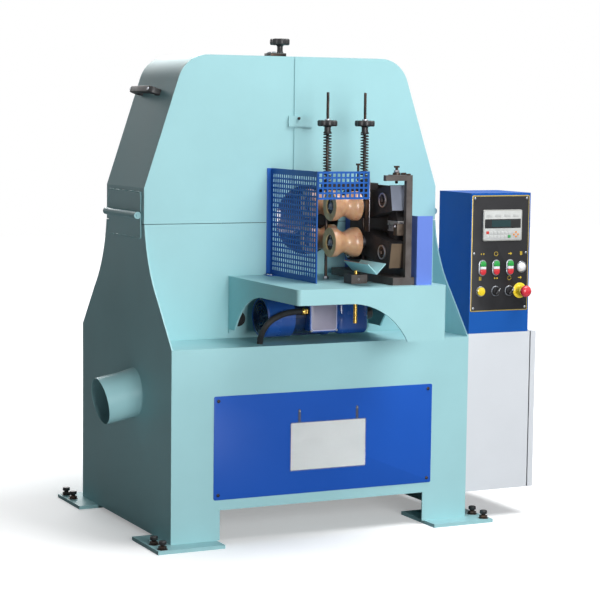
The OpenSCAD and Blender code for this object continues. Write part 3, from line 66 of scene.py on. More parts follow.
# Main planes and axes of the machine, as in the part's source
HALF_W = 554.0
FACE_Y, DECK_Z = 247.0, 858.0
BAR_X, BAR_Z = 48.0, 1045.0
ROD_X = (15.0, 155.0)
SPRING_Y = 38.0
SPRING_LOW, SPRING_TOP = 1182.0, 1347.0
ARM_X0, ARM_X1 = 122.0, 178.0
STOP_X, STOP_Y = 152.0, -192.0
FRONT_PIVOT = (-160.0, 85.0)
REAR_PIVOT = (76.0, 105.0)
ROLLERS = {
    "upper_front": (-20.0, 60.0), "lower_front": (-20.0, -60.0),
    "upper_rear": (150.0, 60.0), "lower_rear": (150.0, -60.0),
}


def at(x, y, z):
    """A point of the drawing, in metres in the row frame."""
    return (Vector((x, y, z)) + SHIFT) * MM


def linear(code):
    """An sRGB hex colour as linear red, green and blue."""
    parts = [int(code[i:i + 2], 16) / 255 for i in (1, 3, 5)]
    return [c / 12.92 if c <= 0.04045 else ((c + 0.055) / 1.055) ** 2.4 for c in parts]


def shade(colour):
    """A colour given as hex or as linear parts, as linear red, green and blue."""
    return linear(colour) if isinstance(colour, str) else list(colour)


# MESH TOOLS
X, Y, Z = Vector((1, 0, 0)), Vector((0, 1, 0)), Vector((0, 0, 1))


def facing(direction):
    """The turn that brings the Z axis to a direction."""
    return Vector(direction).to_track_quat("Z", "Y").to_matrix().to_4x4()


def cap_edges(part):
    """The edges round the caps, which are the faces with more than four corners."""
    return [e for e in part.edges if any(len(f.verts) > 4 for f in e.link_faces)]


def soften(part, edges, size, steps=2):
    """Bevels some edges by a width."""
    bmesh.ops.bevel(part, geom=edges, offset=size, offset_type="OFFSET", segments=steps,
                    profile=0.5, affect="EDGES", clamp_overlap=True, material=-1)


def thicken(part, push):
    """Gives flat faces a thickness."""
    grown = bmesh.ops.extrude_face_region(part, geom=part.faces[:])
    bmesh.ops.translate(part, vec=push,
                        verts=[v for v in grown["geom"] if isinstance(v, bmesh.types.BMVert)])


def block(low, high, edge=0.0, steps=2):
    """A box between two corners, with softened edges."""
    low, high = Vector(low), Vector(high)
    part = bmesh.new()
    bmesh.ops.create_cube(part, size=1, matrix=Matrix.Translation((low + high) / 2)
                          @ Matrix.Diagonal((*(high - low), 1)))
    if edge:
        soften(part, part.edges[:], edge, steps)
    return part


def rod(start, end, radius, tip=None, sides=32, edge=0.0, steps=2):
    """A round bar between two points, or a cone where the tip's radius differs."""
    start, end = Vector(start), Vector(end)
    part = bmesh.new()
    bmesh.ops.create_cone(part, cap_ends=True, segments=sides, radius1=radius,
                          radius2=radius if tip is None else tip, depth=(end - start).length)
    if edge:
        soften(part, cap_edges(part), edge, steps)
    bmesh.ops.transform(part, matrix=Matrix.Translation((start + end) / 2) @ facing(end - start),
                        verts=part.verts)
    return part


def skin(part, rings, round_off=True):
    """Faces between rings of points that follow each other, each ring closed on itself."""
    for one, two in zip(rings, rings[1:] + rings[:1] if round_off else rings[1:]):
        for i in range(len(one)):
            j = (i + 1) % len(one)
            corners = list(dict.fromkeys((one[i], one[j], two[j], two[i])))
            if len(corners) > 2:
                part.faces.new(corners)


def turned(profile, centre, axis, sides=48):
    """A shape spun round an axis from (radius, height) points."""
    part = bmesh.new()
    turns = [math.tau * i / sides for i in range(sides)]
    rings = {}
    for r, h in profile:
        if (r, h) not in rings:
            rings[r, h] = ([part.verts.new((r * math.cos(t), r * math.sin(t), h)) for t in turns]
                           if r else [part.verts.new((0, 0, h))] * sides)
    skin(part, [rings[point] for point in profile], False)
    bmesh.ops.transform(part, matrix=Matrix.Translation(centre) @ facing(axis), verts=part.verts)
    return part


def washer(inner, outer, low, high, closed=False):
    """The profile of a disc or a ring between two radii and two heights."""
    points = [(inner, low), (outer, low), (outer, high), (inner, high)]
    return points + points[:1] if closed else points


def coil(radius, wire, sides, steps, turns=1, rise=0.0):
    """A round wire wound about Z: a closed ring, or a helix where each step rises."""
    part = bmesh.new()
    section = [(radius + wire * math.sin(math.tau * k / sides), wire * math.cos(math.tau * k / sides))
               for k in range(sides)]
    rings = []
    for i in range(steps * turns + (1 if rise else 0)):
        turn = math.tau * i / steps
        rings.append([part.verts.new((r * math.cos(turn), r * math.sin(turn), h + rise * i))
                      for r, h in section])
    skin(part, rings, not rise)
    if rise:
        part.faces.new(rings[0])
        part.faces.new(rings[-1])
    return part


def about(centre, degrees, axis):
    """The turn about an axis through a point."""
    return Matrix.Translation(centre) @ Matrix.Rotation(math.radians(degrees), 4, axis)


def spread(count, first, radius):
    """Offsets of points evenly round a circle, from a first angle in degrees."""
    turns = [math.radians(first + 360 / count * i) for i in range(count)]
    return [(radius * math.cos(turn), radius * math.sin(turn)) for turn in turns]


def slab(outline, low, high, axis="Y", edge=0.0, steps=2):
    """A flat outline given a thickness along one axis. Outline points are in the other two."""
    part = bmesh.new()
    place = {"X": lambda a, b: (low, a, b), "Y": lambda a, b: (a, low, b),
             "Z": lambda a, b: (a, b, low)}
    part.faces.new([part.verts.new(place[axis](a, b)) for a, b in outline])
    thicken(part, {"X": X, "Y": Y, "Z": Z}[axis] * (high - low))
    if edge:
        soften(part, cap_edges(part) if len(outline) > 4 else part.edges[:], edge, steps)
    return part


def arc(cx, cy, radius, start, end, steps=12):
    """Points of an arc, in degrees."""
    return [(cx + radius * math.cos(math.radians(start + (end - start) * i / steps)),
             cy + radius * math.sin(math.radians(start + (end - start) * i / steps)))
            for i in range(steps + 1)]


def rounded(x0, y0, x1, y1, radius, steps=6):
    """The outline of a rectangle with round corners."""
    return (arc(x1 - radius, y1 - radius, radius, 0, 90, steps)
            + arc(x0 + radius, y1 - radius, radius, 90, 180, steps)
            + arc(x0 + radius, y0 + radius, radius, 180, 270, steps)
            + arc(x1 - radius, y0 + radius, radius, 270, 360, steps))


def hexagon(centre, axis, radius, height, edge=0.8):
    """A six-sided nut or head standing on its centre."""
    centre, axis = Vector(centre), Vector(axis).normalized()
    return rod(centre, centre + axis * height, radius, sides=6, edge=edge)


def lobed(centre, radius, height, lobes=7, depth=0.09, edge=3.0):
    """A hand knob with finger lobes, standing on its centre along Z."""
    part = bmesh.new()
    made = bmesh.ops.create_circle(part, cap_ends=True, segments=lobes * 10, radius=radius)
    for vert in made["verts"]:
        angle = math.atan2(vert.co.y, vert.co.x)
        vert.co *= 1 - depth * (0.5 - 0.5 * math.cos(lobes * angle)) ** 2
    thicken(part, Z * height)
    soften(part, cap_edges(part), edge, 3)
    bmesh.ops.translate(part, vec=centre, verts=part.verts)
    return part


class Build:
    """Collects the parts of one piece, each with its own finish."""

    def __init__(self, *finishes):
        self.mesh = bmesh.new()
        self.finishes = finishes

    def add(self, part, finish=0, move=None):
        """Takes a part in, with the finish of that place in the list."""
        if move is not None:
            bmesh.ops.transform(part, matrix=move, verts=part.verts)
        bmesh.ops.recalc_face_normals(part, faces=part.faces)
        for face in part.faces:
            face.material_index = finish
        scrap = bpy.data.meshes.new("scrap")
        part.to_mesh(scrap)
        part.free()
        self.mesh.from_mesh(scrap)
        bpy.data.meshes.remove(scrap)
        return self

    def done(self, name, body, slot, replaces=(), smooth=35.0):
        """Makes the object, in its place, riding on a body."""
        mesh = bpy.data.meshes.new(name)
        bmesh.ops.scale(self.mesh, vec=(MM, MM, MM), verts=self.mesh.verts)
        bmesh.ops.translate(self.mesh, vec=SHIFT * MM, verts=self.mesh.verts)
        self.mesh.to_mesh(mesh)
        self.mesh.free()
        for face in mesh.polygons:
            face.use_smooth = True
        mesh.set_sharp_from_angle(angle=math.radians(smooth))
        for finish in self.finishes:
            mesh.materials.append(finish)
        piece = bpy.data.objects.new(name, mesh)
        bpy.context.scene.collection.objects.link(piece)
        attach(piece, body)
        if replaces:
            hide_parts(*([replaces] if isinstance(replaces, str) else replaces))
        return piece


def dress(node, finish, edge=0.0):
    """Gives a CAD node its finish, and softens its edges by a width in millimetres."""
    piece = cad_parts[node]
    piece.data.materials.clear()
    piece.data.materials.append(finish)
    if edge:
        bevel = piece.modifiers.new("edges", "BEVEL")
        bevel.width = edge * MM
        bevel.segments = 2
        bevel.limit_method = "ANGLE"
        bevel.angle_limit = math.radians(30)
        bevel.harden_normals = False
        bevel.use_clamp_overlap = True
    return piece


# FINISHES
FINISHES = {}


def add_node(tree, kind, settings=None, **links):
    """Adds a node, sets its values, and links its inputs."""
    node = tree.nodes.new(kind)
    for key, value in (settings or {}).items():
        if key in node.inputs:
            node.inputs[key].default_value = value
        else:
            setattr(node, key, value)
    for key, source in links.items():
        tree.links.new(source, node.inputs[key.replace("_", " ")])
    return node


def finish(name, colour, metallic, roughness, grain_mm=2.0, relief_mm=0.0, tint=None,
           tint_mm=60.0, tint_share=0.35, gloss_spread=0.08, stretch=None, coat=0.0, ior=None,
           spread=0.12, band=None):
    """A surface with a grain, a slow drift towards a second colour, and uneven gloss.

    A band is a height of the drawing, half its width and the colour that is bare there.
    """
    if name in FINISHES:
        return FINISHES[name]
    material = bpy.data.materials.new(name)
    material.use_nodes = True
    tree = material.node_tree
    tree.nodes.clear()
    place = add_node(tree, "ShaderNodeTexCoord")
    drift = add_node(tree, "ShaderNodeTexNoise",
                     {"Scale": 1 / (tint_mm * MM), "Detail": 4.0, "Roughness": 0.6},
                     Vector=place.outputs["Object"])
    first = [*shade(colour), 1]
    second = [*linear(tint), 1] if tint else [c * (1 - spread) for c in first[:3]] + [1]
    ramp = add_node(tree, "ShaderNodeValToRGB", None, Fac=drift.outputs["Fac"])
    ramp.color_ramp.elements[0].position = 0.5 - tint_share / 2
    ramp.color_ramp.elements[1].position = 0.5 + tint_share / 2
    ramp.color_ramp.elements[0].color = second
    ramp.color_ramp.elements[1].color = first
    gloss = add_node(tree, "ShaderNodeMapRange",
                     {"To Min": max(roughness - gloss_spread, 0.03), "To Max": roughness + gloss_spread,
                      "From Min": 0.3, "From Max": 0.7}, Value=drift.outputs["Fac"])
    shader = add_node(tree, "ShaderNodeBsdfPrincipled", {"Metallic": metallic, "Coat Weight": coat},
                      Base_Color=ramp.outputs["Color"], Roughness=gloss.outputs["Result"])
    if ior:
        shader.inputs["IOR"].default_value = ior
    if band:
        parts = add_node(tree, "ShaderNodeSeparateXYZ", None, Vector=place.outputs["Object"])
        bare = add_node(tree, "ShaderNodeMath", {"operation": "COMPARE"})
        tree.links.new(parts.outputs["Z"], bare.inputs[0])
        bare.inputs[1].default_value = at(0, 0, band[0]).z
        bare.inputs[2].default_value = band[1] * MM
        mix = add_node(tree, "ShaderNodeMix", {"data_type": "RGBA"})
        tree.links.new(bare.outputs["Value"], mix.inputs[0])
        tree.links.new(ramp.outputs["Color"], mix.inputs[6])
        mix.inputs[7].default_value = [*shade(band[2]), 1]
        tree.links.new(mix.outputs[2], shader.inputs["Base Color"])
    if relief_mm:
        way = add_node(tree, "ShaderNodeMapping", {"Scale": stretch or (1, 1, 1)},
                       Vector=place.outputs["Object"])
        grain = add_node(tree, "ShaderNodeTexNoise",
                         {"Scale": 1 / (grain_mm * MM), "Detail": 2.0, "Roughness": 0.5},
                         Vector=way.outputs["Vector"])
        bump = add_node(tree, "ShaderNodeBump", {"Distance": relief_mm * MM, "Strength": 0.6},
                        Height=grain.outputs["Fac"])
        tree.links.new(bump.outputs["Normal"], shader.inputs["Normal"])
    add_node(tree, "ShaderNodeOutputMaterial", None, Surface=shader.outputs["BSDF"])
    FINISHES[name] = material
    return material


def refine(material, **values):
    """Sets further inputs of a finish's shader."""
    shader = next(n for n in material.node_tree.nodes if n.type == "BSDF_PRINCIPLED")
    for key, value in values.items():
        shader.inputs[key.replace("_", " ")].default_value = value
    return material


def powder_coat(name, colour, roughness=0.38):
    # Polyester powder, sprayed and baked: satin, with a faint orange peel drawn at 5 mm so that it shows
    return finish(name, colour, 0.0, roughness, grain_mm=5.0, relief_mm=0.05, tint_mm=260.0,
                  spread=0.05, gloss_spread=0.05, ior=1.25)


def textured_paint(name, colour):
    # Epoxy powder with a leather-like texture of about 1.5 mm: matt, each grain catches the light
    return finish(name, colour, 0.0, 0.6, grain_mm=2.5, relief_mm=0.05, tint_mm=200.0, spread=0.03,
                  ior=1.3)


def enamel(name, colour):
    # Air-dried machine enamel over cast iron: glossy, slightly wavy from the casting under it
    return finish(name, colour, 0.0, 0.25, grain_mm=14.0, relief_mm=0.35, tint_mm=90.0, spread=0.18,
                  coat=0.3, ior=1.5)


def blued_steel():
    # Mild steel, ground and then blackened in oil: dark, with brown patches where the oil dried
    return finish("blackened_steel", "#2A2A2C", 0.75, 0.42, grain_mm=1.5, relief_mm=0.04,
                  tint="#4A3A30", tint_mm=38.0, tint_share=0.3, gloss_spread=0.12, stretch=(1, 1, 4))


def browned_steel():
    # Mild steel, browned and oiled: warm grey, lighter where it is lit, with darker patches
    return finish("browned_steel", "#5E5957", 0.45, 0.48, grain_mm=1.5, relief_mm=0.04, tint="#4A4340",
                  tint_mm=42.0, tint_share=0.35, gloss_spread=0.1, stretch=(1, 1, 4))


def ground_steel():
    # Surface-ground steel: bright, with fine lines along the wheel's path drawn at 1.2 mm
    return finish("ground_steel", "#B4B2B6", 1.0, 0.32, grain_mm=1.2, relief_mm=0.03, tint="#8C8890",
                  tint_mm=45.0, stretch=(1, 0.12, 1))


def turned_steel(name="turned_steel"):
    # Turned carbon steel: bright rings from the tool, drawn at 1 mm
    return finish(name, "#B9BBBD", 1.0, 0.28, grain_mm=1.0, relief_mm=0.02, tint_mm=60.0, spread=0.15)


def shaded_steel():
    # Turned steel inside the head, drawn dark and dull as painted shade under the hood
    return finish("inner_steel_painted_shade", "#5C5D60", 0.5, 0.6, grain_mm=1.0, relief_mm=0.02, tint="#434447",
                  tint_mm=60.0)


def zinc_plate():
    # Zinc-plated fasteners: pale, slightly blue, dulled by handling
    return finish("zinc_plated_steel", "#B8BCC2", 1.0, 0.35, grain_mm=0.8, relief_mm=0.01,
                  tint="#8E9298", tint_mm=12.0)


def brass():
    # Nickel-free turned brass: warm and bright
    return finish("turned_brass", "#C9A558", 1.0, 0.28, grain_mm=1.0, relief_mm=0.01,
                  tint="#A98541", tint_mm=20.0)


def black_nylon():
    # Glass-filled nylon, moulded: deep grey-black with a fine spark-eroded texture
    return finish("moulded_nylon", "#19191B", 0.0, 0.45, grain_mm=1.0, relief_mm=0.05, tint_mm=30.0,
                  ior=1.53)


def gloss_plastic(name, colour):
    # Polycarbonate push button caps, injection moulded: clean colour, shiny
    return finish(name, colour, 0.0, 0.22, grain_mm=3.0, relief_mm=0.01, tint_mm=15.0, spread=0.06,
                  coat=0.2, ior=1.58)


def rubber(name="nitrile_rubber", colour="#141415"):
    # Extruded rubber: nearly black, matt, dusty
    return finish(name, colour, 0.0, 0.7, grain_mm=1.2, relief_mm=0.03, tint="#222224", tint_mm=25.0,
                  ior=1.52)


def polyurethane():
    # Cast polyurethane, turned to shape: amber, waxy, darker where bars have run
    material = finish("cast_polyurethane", "#D6AF86", 0.0, 0.33, grain_mm=2.0, relief_mm=0.04,
                      tint="#B98468", tint_mm=34.0, tint_share=0.5, coat=0.15, ior=1.5)
    return refine(material, Subsurface_Weight=0.25, Subsurface_Radius=(0.006, 0.003, 0.001),
                  Subsurface_Scale=1.0)


def abrasive_cloth():
    # Aluminium oxide grit on cloth: brown, each grain catches the light, drawn at 1.5 mm
    return finish("abrasive_cloth", "#6E4A36", 0.0, 0.8, grain_mm=1.5, relief_mm=0.5, tint="#543526",
                  tint_mm=18.0)


def clear_acrylic():
    # Extruded acrylic sheet of the sign pocket: clear, with a slight grey edge
    material = finish("clear_acrylic", "#F4F7F8", 0.0, 0.08, tint_mm=80.0, spread=0.02, ior=1.49)
    return refine(material, Transmission_Weight=0.9)


def glow(name, colour, strength):
    # Backlit liquid crystal: an even, faint light under a dark green film
    material = finish(name, colour, 0.0, 0.15, tint_mm=10.0, spread=0.1, ior=1.5)
    return refine(material, Emission_Color=[*linear(colour), 1], Emission_Strength=strength)


# SETTINGS
def paint_setting(name, description, code):
    """A colour that the panel offers."""
    return bpy.props.FloatVectorProperty(name=name, description=description, subtype="COLOR",
                                         size=3, min=0, max=1, default=linear(code))


class MachineColours(bpy.types.PropertyGroup):
    """Paint colours of the machine."""
    body: paint_setting("Body", "Powder coat of the body and the hood", "#A0CED3")
    panel: paint_setting("Access panel", "Powder coat of the access panel", "#1E55B4")
    guard: paint_setting("Guards", "Powder coat of the left feed guard", "#2A5FAE")
    console: paint_setting("Console", "Powder coat of the console", "#0F55A8")
    cabinet: paint_setting("Cabinet", "Powder coat of the electric cabinet", "#D6DADF")
    floor: paint_setting("Floor", "Colour of the studio floor", "#F4F5F6")


class MachineSizes(bpy.types.PropertyGroup):
    """Sizes of the details that a user may want to change."""
    guard_pitch: bpy.props.FloatProperty(
        name="Guard pitch", description="Distance between the guard's holes", unit="LENGTH",
        min=0.012, max=0.03, default=0.0166)
    guard_hole: bpy.props.FloatProperty(
        name="Guard hole", description="Side of a square guard hole", unit="LENGTH",
        min=0.005, max=0.02, default=0.0108)
    wire: bpy.props.FloatProperty(
        name="Spring wire", description="Radius of the wire of the pressure springs", unit="LENGTH",
        min=0.001, max=0.0025, default=0.0019)
    coils: bpy.props.IntProperty(
        name="Spring turns", description="Turns of each pressure spring", min=8, max=24, default=18)


def colours():
    return bpy.context.scene.machine_colours


def sizes():
    return bpy.context.scene.machine_sizes


def body_paint():
    return powder_coat("aqua_powder_coat", colours().body)


# STAGE
CAMERA_SPOT = (-2826.5, -5562.8, 1416.5)
CAMERA_YAW, CAMERA_PITCH, CAMERA_ROLL = 0.456, 0.100, 0.012
CAMERA_PIXELS, PHOTO_WIDTH, SENSOR = 1884.49, 600.0, 36.0
# Name, place, point aimed at, watts and width in metres
LAMPS = (
    ("key", (-300, -4800, 1300), (100, 0, 700), 172, 2.0),
    ("top", (1300, -1000, 4000), (200, 0, 900), 135, 2.4),
    ("back", (600, 4600, 2600), (0, 300, 900), 120, 3.0))


class SANDER_OT_stage(bpy.types.Operator):
    """Sets the camera, the floor, the background and the studio lamps"""
    bl_idname = "sander.stage"
    bl_label = "Stage"

    def execute(self, context):
        scene = context.scene
        data = bpy.data.cameras.new("photo_camera")
        data.sensor_width, data.lens = SENSOR, CAMERA_PIXELS * SENSOR / PHOTO_WIDTH
        data.clip_end = 60
        camera = bpy.data.objects.new("photo_camera", data)
        scene.collection.objects.link(camera)
        yaw, pitch, roll = CAMERA_YAW, CAMERA_PITCH, CAMERA_ROLL
        ahead = Vector((math.sin(yaw) * math.cos(pitch), math.cos(yaw) * math.cos(pitch),
                        -math.sin(pitch)))
        right = Vector((math.cos(yaw), -math.sin(yaw), 0))
        up = right.cross(ahead)
        side = right * math.cos(roll) + up * math.sin(roll)
        top = up * math.cos(roll) - right * math.sin(roll)
        turn = Matrix((side, top, -ahead)).transposed().to_4x4()
        camera.matrix_world = Matrix.Translation(at(*CAMERA_SPOT)) @ turn
        scene.camera = camera
        self.floor(scene)
        self.world(scene)
        for name, spot, aim, power, width in LAMPS:
            lamp = bpy.data.lights.new(name + "_softbox", "AREA")
            lamp.shape, lamp.size, lamp.energy = "DISK", width, power
            holder = bpy.data.objects.new(name + "_softbox", lamp)
            scene.collection.objects.link(holder)
            way = Vector(aim) - Vector(spot)
            holder.matrix_world = (Matrix.Translation(at(*spot))
                                   @ way.to_track_quat("-Z", "Y").to_matrix().to_4x4())
        scene.view_settings.view_transform = "Standard"
        return {"FINISHED"}

    def floor(self, scene):
        """Seamless paper: matt and pale, lifted to white for the camera with the shadow kept."""
        mesh = bpy.data.meshes.new("floor")
        plane = bmesh.new()
        bmesh.ops.create_grid(plane, x_segments=1, y_segments=1, size=14)
        plane.to_mesh(mesh)
        plane.free()
        floor = bpy.data.objects.new("floor", mesh)
        scene.collection.objects.link(floor)
        material = bpy.data.materials.new("studio_paper")
        material.use_nodes = True
        tree = material.node_tree
        tree.nodes.clear()
        paper = add_node(tree, "ShaderNodeBsdfDiffuse", {"Color": [*colours().floor, 1]})
        spot = add_node(tree, "ShaderNodeNewGeometry")
        reach = add_node(tree, "ShaderNodeVectorMath", {"operation": "LENGTH"})
        tree.links.new(spot.outputs["Position"], reach.inputs[0])
        fade = add_node(tree, "ShaderNodeMapRange",
                        {"From Min": 0.7, "From Max": 2.6, "To Min": 0.3, "To Max": 1.2},
                        Value=reach.outputs["Value"])
        lift = add_node(tree, "ShaderNodeEmission", None, Strength=fade.outputs["Result"])
        both = add_node(tree, "ShaderNodeAddShader")
        tree.links.new(paper.outputs["BSDF"], both.inputs[0])
        tree.links.new(lift.outputs["Emission"], both.inputs[1])
        path = add_node(tree, "ShaderNodeLightPath")
        pick = add_node(tree, "ShaderNodeMixShader", None, Fac=path.outputs["Is Camera Ray"])
        # Less light comes back to the object than a real sheet of paper gives
        dull = add_node(tree, "ShaderNodeBsdfDiffuse", {"Color": (0.34, 0.35, 0.36, 1)})
        tree.links.new(dull.outputs["BSDF"], pick.inputs[1])
        tree.links.new(both.outputs["Shader"], pick.inputs[2])
        add_node(tree, "ShaderNodeOutputMaterial", None, Surface=pick.outputs["Shader"])
        mesh.materials.append(material)

    def world(self, scene):
        """White for the camera and in reflections, and dim as a light."""
        world = bpy.data.worlds.new("studio")
        scene.world = world
        world.use_nodes = True
        tree = world.node_tree
        tree.nodes.clear()
        path = add_node(tree, "ShaderNodeLightPath")
        seen = add_node(tree, "ShaderNodeMath", {"operation": "MAXIMUM"})
        clear = add_node(tree, "ShaderNodeMath", {"operation": "MAXIMUM"})
        for source, name, sink, place in (
                (path, "Is Camera Ray", seen, 0), (path, "Is Glossy Ray", seen, 1),
                (seen, "Value", clear, 0), (path, "Is Transmission Ray", clear, 1)):
            tree.links.new(source.outputs[name], sink.inputs[place])
        soft = add_node(tree, "ShaderNodeBackground", {"Color": (0.93, 0.97, 1.0, 1), "Strength": 0.06})
        white = add_node(tree, "ShaderNodeBackground", {"Color": (1, 1, 1, 1), "Strength": 1.0})
        pick = add_node(tree, "ShaderNodeMixShader", None, Fac=clear.outputs["Value"])
        tree.links.new(soft.outputs["Background"], pick.inputs[1])
        tree.links.new(white.outputs["Background"], pick.inputs[2])
        add_node(tree, "ShaderNodeOutputWorld", None, Surface=pick.outputs["Shader"])


# MOTOR CABLE
CABLE_ROUTE = [
    (-74, 35, 752), (-92, 33, 752), (-112, 31, 751), (-132, 28, 749), (-152, 24, 745),
    (-172, 21, 738), (-190, 22, 728), (-204, 26, 714), (-213, 34, 697), (-216, 44, 680),
    (-215, 56, 665), (-212, 64, 656), (-212, 67, 646)]
CABLE_RADIUS = 9.95


class SANDER_OT_cable(bpy.types.Operator):
    """Lays the motor cable from its gland into the body"""
    bl_idname = "sander.cable"
    bl_label = "Motor cable"

    def execute(self, context):
        data = bpy.data.curves.new("motor_cable_sheath", "CURVE")
        data.dimensions, data.bevel_depth, data.bevel_resolution = "3D", CABLE_RADIUS * MM, 6
        data.resolution_u = 8
        data.use_fill_caps = True
        spline = data.splines.new("BEZIER")
        spline.bezier_points.add(len(CABLE_ROUTE) - 1)
        points = [at(*p) for p in CABLE_ROUTE]
        for place, spot in zip(spline.bezier_points, points):
            place.co = spot
            place.handle_left_type = place.handle_right_type = "AUTO"
        data.materials.append(rubber("pvc_cable_sheath", "#121213"))
        cable = bpy.data.objects.new("motor_cable_sheath", data)
        context.scene.collection.objects.link(cable)
        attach(cable, "machine")
        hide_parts("motor_cable")
        return {"FINISHED"}


# BODY
OUTLET, OUTLET_TILT = (-HALF_W, 338, 463), math.radians(10.7)
BOLT_X, BOLT_Y = HALF_W + 47, (-46.0, 29.0, 893.0, 818.0)
PLUG = (-214, FACE_Y - 6, 712)


class SANDER_OT_body(bpy.types.Operator):
    """Paints the body, and adds the welds of its hinges and of its dust outlet"""
    bl_idname = "sander.body"
    bl_label = "Body"

    def execute(self, context):
        paint = body_paint()
        dress("pedestal", paint, 1.6)
        dress("dust_spigot", paint, 0.5)
        dress("platform", paint, 2.0)
        self.hinge_welds(paint)
        self.outlet_weld(paint)
        self.feet()
        self.front_panel()
        self.sign_pocket()
        return {"FINISHED"}

    def bead(self, start, end, radius):
        """A weld bead with its ripples, half sunk between two sheets."""
        start, end = Vector(start), Vector(end)
        length = (end - start).length
        count = max(int(length / 4), 4)
        ripple = [(radius * (0.82 + 0.18 * abs(math.sin(math.pi * i / 2))), length * i / count)
                  for i in range(count + 1)]
        return turned([(0, 0)] + ripple + [(0, length)], start, end - start, sides=12)

    def hinge_welds(self, paint):
        """Stitch welds along the hinges' leaves, on the body and on the hood."""
        low, high = 990.0, 1142.0
        y0, y1 = 273.5, 573.5
        for side, hood in ((-1, "left_hood"), (1, "right_hood")):
            name = hood.split("_")[0]
            lower, upper = Build(paint), Build(paint)
            x = side * (HALF_W + 1.5)
            for i in range(5):
                a = y0 + 6 + i * 62
                lower.add(self.bead((x, a, low), (x, a + 34, low), 3.2))
                upper.add(self.bead((x, a, high), (x, a + 34, high), 3.2))
            for y in (y0, y1):
                lower.add(self.bead((x, y, low), (x, y, low + 40), 3.0))
                upper.add(self.bead((x, y, high - 40), (x, y, high), 3.0))
            lower.done(name + "_hinge_lower_welds", "machine", "aqua_paint")
            upper.done(name + "_hinge_upper_welds", hood, "aqua_paint")

    def outlet_weld(self, paint):
        """The bead follows the ellipse where the tilted tube meets the side."""
        stretch = Matrix.Diagonal((1 / math.cos(OUTLET_TILT), 1, 1, 1))
        place = about(OUTLET, 90, "Y")
        weld = Build(paint).add(coil(81, 3.4, 8, 96), move=place @ stretch)
        weld.done("outlet_weld", "machine", "aqua_paint")

    def feet(self):
        """The levelling bolts, each with a washer, a nut and a knurled plastic head."""
        bolts = Build(blued_steel(), black_nylon())
        for side in (-1, 1):
            for y in BOLT_Y:
                x = side * BOLT_X
                thread = [(7.3 + 0.6 * (i % 2), 12 + i * 0.9) for i in range(28)]
                bolts.add(turned([(0, 0.5), (8, 0.5), (8, 12)] + thread + [(0, 37)], (x, y, 0), Z, 24))
                bolts.add(turned(washer(9, 17, 12, 13.6), (x, y, 0), Z, 32))
                bolts.add(hexagon((x, y, 13.6), Z, 14, 9))
                bolts.add(turned([(0, 28), (12, 28), (13, 29.5), (13, 38), (11, 40), (0, 40)],
                                 (x, y, 0), Z, 32), 1)
        bolts.done("levelling_bolts", "machine", "black_steel", "leveling_bolts")

    def front_panel(self):
        """The access panel with its screws, and the rubber plug under the platform."""
        panel = Build(powder_coat("blue_panel_powder_coat", colours().panel, 0.33))
        panel.add(slab(rounded(-405, 146, 411, 489, 6), -2.0, 0.0, "Y", 0.5))
        panel.done("access_panel_sheet", "machine", "panel_blue", "access_panel")
        screws = Build(black_nylon(), blued_steel(), rubber())
        for x in (-389, 395):
            for z in (162, 473):
                screws.add(turned([(0, 3.2), (3, 3.1), (5.5, 1.6), (6, 0), (0, 0)], (x, -2, z), -Y, 24), 1)
                screws.add(rod((x, -5.4, z), (x, -4.0, z), 2.3, sides=6))
        screws.add(turned([(0, 0), (26, 0), (26, 4), (24, 6), (19, 6), (17, 4.5), (0, 4.5)],
                          PLUG, -Y), 2)
        screws.done("panel_screws_and_plug", "machine", "dark_plastic", "fasteners")

    def sign_pocket(self):
        """The bare card in its pocket of clear sheet, hung from two tabs."""
        card = finish("blank_card", "#FAFAF8", 0.0, 0.6, grain_mm=1.0, relief_mm=0.01, spread=0.02)
        pocket = Build(card, clear_acrylic())
        # Card and pocket are as high as in the photo, lower than the solid
        pocket.add(slab(rounded(-127, 226, 151, 384, 3), -4.6, -3.9, "Y"))
        pocket.add(slab(rounded(-130, 223, 154, 387, 4), -5.5, -4.7, "Y", 0.2), 1)
        for x in (-96, 120):
            pocket.add(slab([(x - 4, 380), (x + 4, 380), (x + 4, 427), (x + 1.5, 431), (x - 1.5, 431),
                             (x - 4, 427)], -3.8, -2.0, "Y"), 1)
            pocket.add(turned([(0, 2.4), (2, 2.2), (4, 0.8), (4, 0), (0, 0)], (x, -3.7, 424), -Y, 16), 1)
        pocket.done("sign_pocket", "machine", "sign_white", "sign_holder")


# HOOD
SLOPE, SLOPE_FOOT = math.atan2(147, 443), 1157.0
HANDLE_Y, HANDLE_Z = 460.0, 1472.0
CLAMP = (-14, 352)


